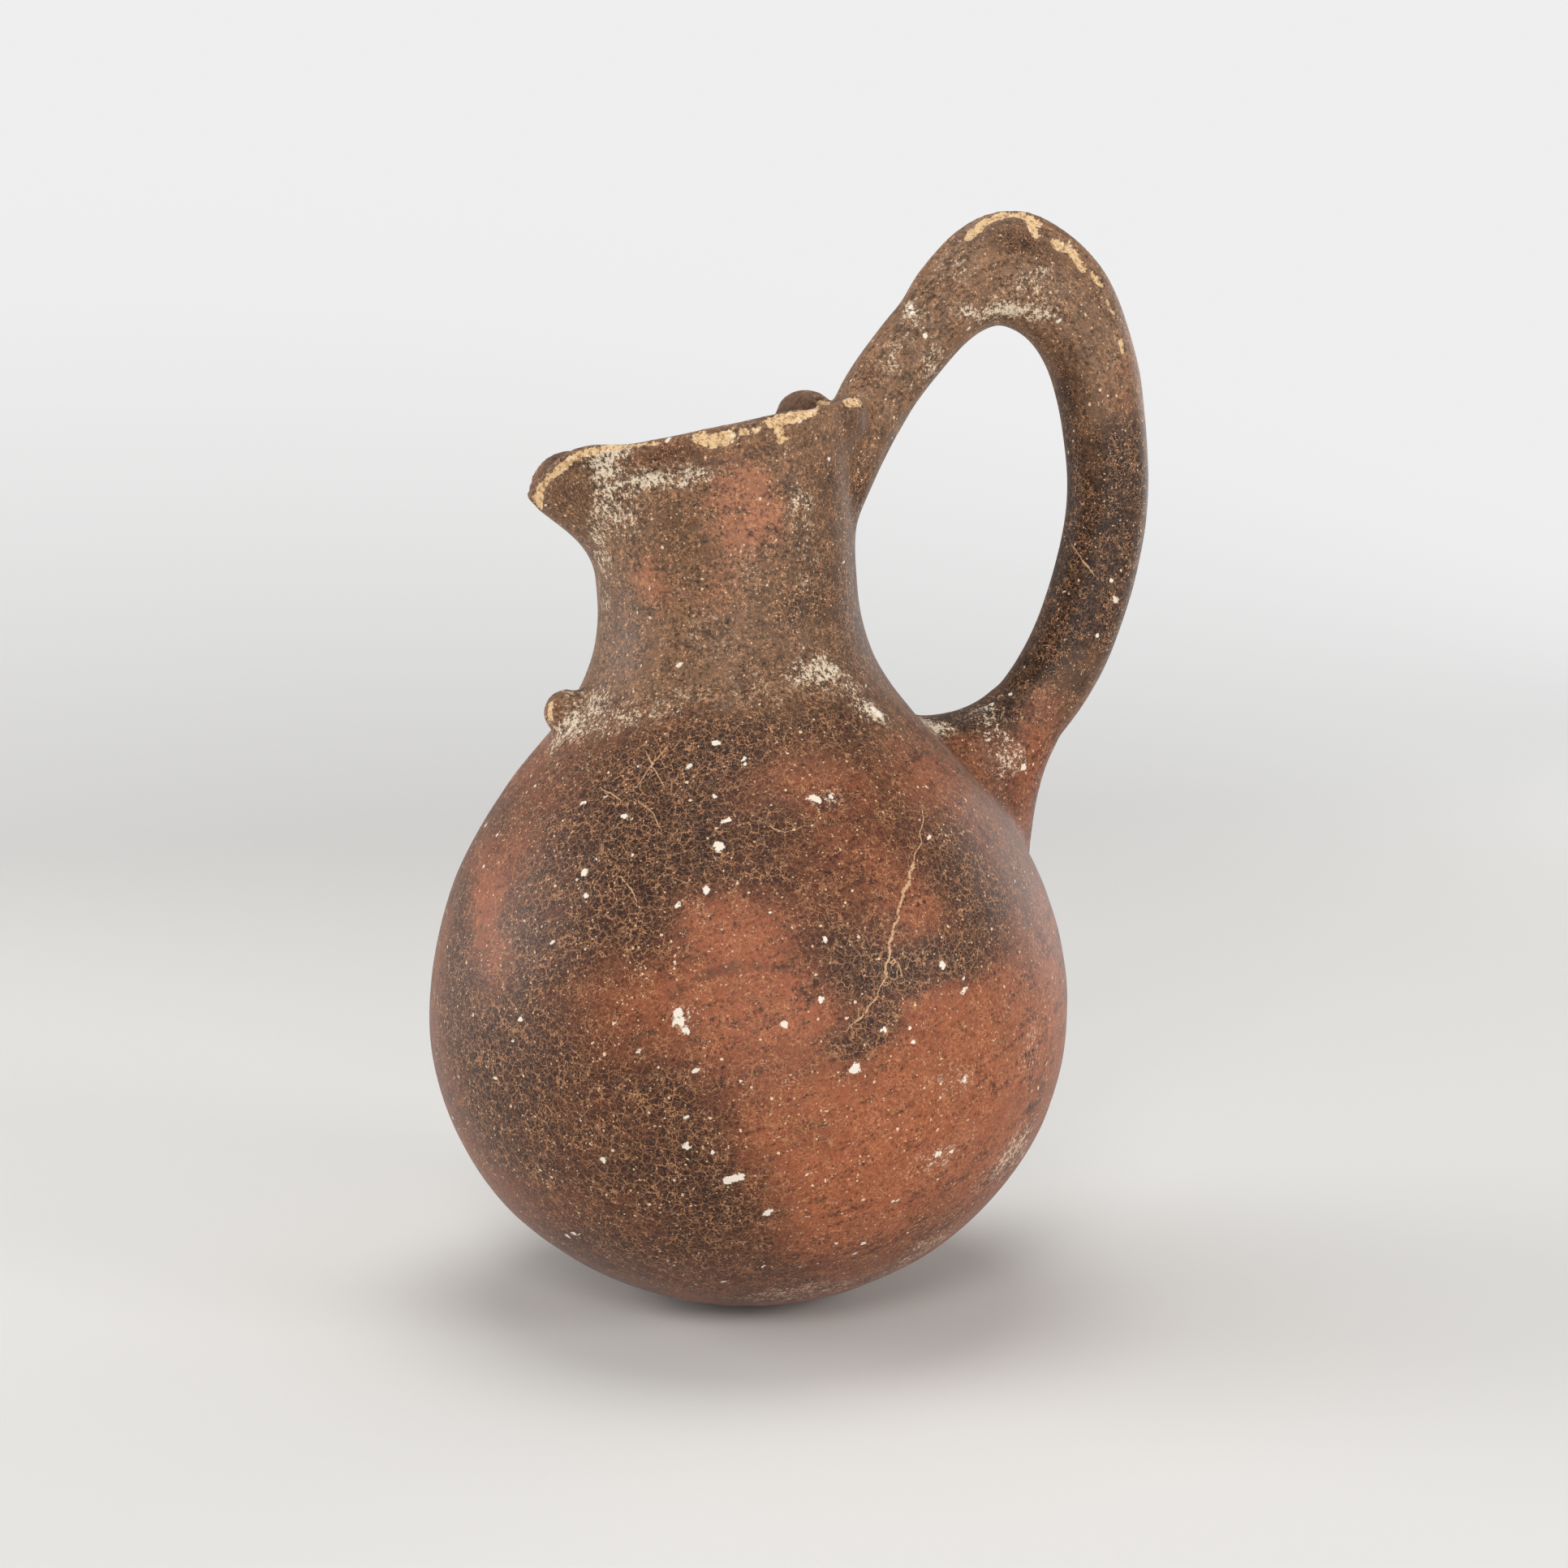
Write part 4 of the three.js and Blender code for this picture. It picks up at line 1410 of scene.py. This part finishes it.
def moved(place, operation, amount):
    return Wire.node("ShaderNodeVectorMath", {"operation": operation}, {0: place, 1: amount})


def stretched(place, by):
    """The same place in a space that is stretched, so that a pattern runs in one direction."""
    return moved(place, "MULTIPLY", by)


def tilted(place, angle):
    return Wire.node("ShaderNodeMapping", {}, {"Vector": place, "Rotation": (0, angle, 0)})


def swirled(place, size, amount):
    shift = moved(grain(place, size, 1, 0.5, 1), "SUBTRACT", (0.5, 0.5, 0.5))
    return moved(place, "ADD", stretched(shift, (amount, amount, amount)))


def specks(place, size, largest, power):
    """Small dots, one to a cell, each with its own size; most stay very small."""
    dot = cells(place, size)
    own = Wire.node("ShaderNodeSeparateColor", {}, {0: dot.output(1)})
    return (dot - own ** power * largest).rise(0.03, -0.03)


print("wires ready")

# %% [markdown]
# ## Fired clay
# The finish is built up as it came about: a body of red clay, the smoke and the open fire, the
# strokes of the burnishing stone, then centuries in the ground with crazing, lime and wear.
# Some of the patches and specks are painted shade, painted sheen and painted glints.

# %% The clay's material
def fired_clay(name):
    material = bpy.data.materials.new(name)
    material.use_nodes = True
    Wire.tree = material.node_tree
    shader = material.node_tree.nodes["Principled BSDF"]
    metres = Wire.node("ShaderNodeTexCoord", {}, {}, 3)
    spot = stretched(metres, (1000, 1000, 1000))
    height = Wire.node("ShaderNodeSeparateXYZ", {}, {0: spot}, 2)
    on_roll, inside = field("on_roll"), field("inside")
    outside = 1 - inside
    # slow changes and fine grain
    broad = grain(spot, 30, 3, 0.55)
    patchy = grain(spot, 8, 5, 0.65)
    mottle = grain(spot, 2.4, 4, 0.7)
    fine = grain(spot, 0.75, 3, 0.75)
    # strokes of the burnishing stone, level on the pot and along the roll of the handle
    strokes_pot = grain(stretched(tilted(spot, 0.3), (0.13, 0.13, 1)), 1.3, 4, 0.65)
    strokes_roll = grain(stretched(field("roll_place", 1), (0.09, 1, 1)), 0.9, 4, 0.7)
    strokes = strokes_pot * (1 - on_roll) + strokes_roll * on_roll
    # the fire: colour of the clay, open flame, smoke, with painted shade and painted sheen in some
    # of these patches; the edges break up into single grains
    grains = (mottle - 0.5) * 1.3 + (fine - 0.5) * 2.2
    drawn = (strokes - 0.5) * (1.5 - height.rise(108, 125))
    ragged = (patchy - 0.5) * 1.3 + drawn + grains * 0.75
    raised = (height + (patchy - 0.5) * 34 + grains * 9).rise(102, 124)
    red = paint(128, 71, 45).over(paint(84, 46, 30), (broad - 0.5 + ragged * 0.4).rise(-0.2, 0.2))
    grey = paint(126, 95, 71).over(paint(84, 62, 46), ragged.rise(-0.4, 0.4))
    grey = paint(142, 112, 88).over(grey, on_roll * strokes.rise(0.45, 0.62) * 0.45)
    ember = (field("ember") + ragged * 0.9).rise(0.1, 0.8)
    smoke = (field("smoke") + ragged * 1.15).rise(0.02, 0.77)
    body = grey.over(red, raised * (1 - ember * 0.8))
    body = paint(160, 104, 77).over(paint(150, 83, 53), raised).over(body, ember * 0.92)
    body = paint(33, 19, 13).over(body, smoke * (0.92 + on_roll * 0.06))
    streaks = (strokes - 0.5) * (1.5 - raised * 0.9)
    shade = grains * 1.12 + streaks + (patchy - 0.5) * 0.4
    body = Wire.node("ShaderNodeHueSaturation", {}, {"Value": 1 + shade, "Color": body})
    # crazing: two nets of fine cracks that curl and break off, and loose hairs
    curled = swirled(swirled(spot, 1.9, 1.6), 0.6, 0.7)
    gaps = grain(spot, 3.2, 4, 0.7)
    wide_net = cells(curled, 1.9, "DISTANCE_TO_EDGE").rise(0.055, 0.015)
    small_net = cells(curled, 1.15, "DISTANCE_TO_EDGE").rise(0.06, 0.02)
    net = wide_net * gaps.rise(0.3, 0.62) + small_net * gaps.rise(0.6, 0.4) * 0.5
    hair = Wire.math("ABSOLUTE", grain(spot, 1.0, 2, 0.6) - 0.5).rise(0.022, 0.004)
    worn = outside * (1 - on_roll * 0.5)
    body = paint(190, 136, 96).over(body, net * (0.3 + smoke * 0.42) * worn)
    hair *= gaps.rise(0.4, 0.58) * (0.65 + raised * 0.25) * outside
    body = paint(200, 144, 100).over(body, hair)
    # grit and lime specks, and dark specks that are painted shade in tiny pits
    many = (broad * 0.6 + gaps * 0.4).rise(0.36, 0.6)
    slim = stretched(tilted(spot, 0.6), (0.45, 0.45, 1))
    uneven = swirled(spot, 0.5, 0.5)
    small = specks(uneven, 0.8, 0.26, 1.7) * (0.4 + many * 0.6)
    medium = specks(uneven, 1.7, 0.19, 3.3)
    flecks = specks(swirled(slim, 0.35, 0.5), 2.5, 0.15, 5.5)
    sparkle = fine.rise(0.58, 0.68) * gaps.rise(0.34, 0.56) * outside
    for colour, share in (
        ((204, 154, 112), sparkle * (0.42 + raised * 0.28)),
        ((46, 29, 21), fine.rise(0.38, 0.3) * outside * (0.45 + raised * 0.15)),
        ((222, 186, 150), small * outside * 0.9),
        ((226, 200, 166), medium * outside * 0.9),
        ((232, 222, 206), flecks * outside * 0.9),
    ):
        body = paint(*colour).over(body, share)
    # lime from the ground, in grains and in short fibres, with painted sheen and highlight where
    # the field lays it
    crumb = grain(spot, 0.8, 3, 0.7)
    fibre = Wire.math("ABSOLUTE", grain(spot, 1.3, 3, 0.6) - 0.5).rise(0.05, 0.008)
    lime = (field("lime") * 0.9 + grains * 1.3 + fibre * 0.4 - 0.36).rise(0.16, 0.66)
    lime = lime * field("lime").rise(0.05, 0.35)
    body = paint(228, 212, 186).over(body, lime * 0.85)
    # chips, crusts and lines
    scar = (field("scar") - (crumb - 0.5) * 1.9).rise(0.1, -0.1)
    cream = paint(224, 190, 144).over(paint(158, 114, 78), crumb.rise(0.36, 0.56))
    # pale grains in the broken clay of the chips, partly painted glints
    cream = paint(244, 228, 200).over(cream, (fine * 0.5 + mottle * 0.5).rise(0.54, 0.62) * 0.7)
    body = cream.over(body, scar)
    crust = (field("crust") - (crumb - 0.5) * 1.9).rise(1.0, 0.82)
    body = paint(234, 222, 206).over(body, crust * 0.95)
    pale = Wire.math("ABSOLUTE", field("pale_line") + (crumb - 0.5) * 3.4).rise(0.85, 0.5)
    body = paint(206, 164, 124).over(body, pale * (fine.rise(0.3, 0.5)) * 0.9)
    # dark arcs, and painted shade in the crease under the rim
    dark = Wire.math("ABSOLUTE", field("dark_line") + (crumb - 0.5) * 3).rise(1.5, 0.3)
    body = paint(70, 40, 30).over(body, dark * patchy.rise(0.3, 0.6) * 0.55)
    # bare clay inside
    bare = paint(116, 84, 62).over(paint(72, 50, 38), ragged.rise(-0.4, 0.4))
    body = bare.over(body, inside * 0.9)
    rough = 0.4 + 0.2 * fine + 0.3 * lime + 0.35 * scar + 0.1 * net + 0.2 * inside
    relief = mottle * 0.07 + fine * 0.06 + strokes * 0.06 + crumb * scar * 0.3
    bump = Wire.node("ShaderNodeBump", {}, {"Strength": 0.8, "Distance": 0.001, "Height": relief})
    for name, wire in {"Base Color": body, "Roughness": rough, "Normal": bump}.items():
        Wire.tree.links.new(wire.socket, shader.inputs[name])
    plain = {"Sheen Weight": 0.07, "Sheen Roughness": 0.4, "IOR": 1.45, "Specular IOR Level": 0.3}
    for name, value in plain.items():
        shader.inputs[name].default_value = value
    return material

# %% [markdown]
# ## One clay on every piece
# All pieces carry the same material, because the marks run over the seams. Each finished piece
# takes the place of the plain piece of the same name and rides on the root.

# %% Lay the clay on
clay = fired_clay("fired_clay")
for name, item in skins.items():
    item.data.materials.clear()
    item.data.materials.append(clay)
    item.data.polygons.foreach_set("material_index", [0] * len(item.data.polygons))
    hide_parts(name)
    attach(item, "root")
print("clay laid on", len(skins), "pieces")

# %% [markdown]
# ## A pale table and soft light
# The jug stands on a pale sheet that curves up behind it, as in a small studio. Large soft
# lamps stand in front, to the left, to the right and low down, and one hangs above. Two more
# stand a little behind, because the photograph shows a pale sheen along both edges.

# %% Sheet
SHEET_BACK = 1.8
deselect_all()
bpy.ops.mesh.primitive_plane_add(size=6, location=(0, SHEET_BACK - 3, 0))
sheet = settle(bpy.context.object)
sheet.name = "studio_sheet"


def select_edges(piece, wanted):
    edit(piece, "DESELECT", "EDGE")
    leave_edit()
    for edge in piece.data.edges:
        edge.select = all(wanted(piece.data.vertices[number].co) for number in edge.vertices)
    bpy.ops.object.mode_set(mode="EDIT")


select_edges(sheet, lambda spot: spot.y > SHEET_BACK - 0.1)
bpy.ops.mesh.extrude_region_move(TRANSFORM_OT_translate={"value": (0, 0, 3)})
select_edges(sheet, lambda spot: spot.y > SHEET_BACK - 0.1 and spot.z < 0.1)
bpy.ops.mesh.bevel(offset=1.1, segments=24)
leave_edit()
bpy.ops.object.shade_smooth()
print("sheet faces:", len(sheet.data.polygons))

# %% Pale paper
paper = bpy.data.materials.new("pale_paper")
paper.use_nodes = True
Wire.tree = paper.node_tree
matt = paper.node_tree.nodes["Principled BSDF"]
matt.inputs["Base Color"].default_value = (0.72, 0.71, 0.69, 1)
matt.inputs["Roughness"].default_value = 0.9
far_off = Wire.node("ShaderNodeVectorMath", {"operation": "LENGTH"}, {
    0: Wire.node("ShaderNodeTexCoord", {}, {}, 3)}, 1).rise(0.35, 1.6)
light_path = paper.node_tree.nodes.new("ShaderNodeLightPath")
looked_at = Wire(light_path.outputs["Is Camera Ray"])
glow = Wire.node("ShaderNodeEmission", {}, {"Color": (0.86, 0.86, 0.86, 1)})
seen_paper = Wire.node(
    "ShaderNodeMixShader", {}, {0: far_off * looked_at, 1: Wire(matt.outputs[0]), 2: glow})
Wire.tree.links.new(seen_paper.socket, paper.node_tree.nodes["Material Output"].inputs[0])
sheet.data.materials.append(paper)


# %% Lamps
def lamp(name, place, size, power):
    bpy.ops.object.light_add(type="AREA", location=Vector(place) * MM)
    item = bpy.context.object
    item.name = name
    item.data.shape = "DISK"
    item.data.size = size * MM
    item.data.energy = power
    item.rotation_euler = (Vector((0, 0, 100)) - Vector(place)).to_track_quat("-Z", "Y").to_euler()


lamp("front_left", (-450, -1050, 800), 450, 4.8)
lamp("front_low", (-60, -1000, 60), 500, 4.2)
lamp("front_right", (800, -850, 450), 450, 4.5)
lamp("above", (0, 150, 1200), 800, 6)
lamp("left_edge", (-1000, 380, 350), 700, 7.5)
lamp("right_edge", (1000, 420, 250), 700, 3.8)
world = bpy.data.worlds.new("studio_air")
bpy.context.scene.world = world
world.use_nodes = True
Wire.tree = world.node_tree
dim_air = Wire.node("ShaderNodeBackground", {}, {"Color": (1, 1, 1, 1), "Strength": 0.22})
pale_air = Wire.node("ShaderNodeBackground", {}, {"Color": (0.86, 0.86, 0.86, 1), "Strength": 1})
looked_at = Wire(world.node_tree.nodes.new("ShaderNodeLightPath").outputs["Is Camera Ray"])
air = Wire.node("ShaderNodeMixShader", {}, {0: looked_at, 1: dim_air, 2: pale_air})
Wire.tree.links.new(air.socket, world.node_tree.nodes["World Output"].inputs[0])
bpy.context.scene.view_settings.view_transform = "Standard"
print("lamps lit")
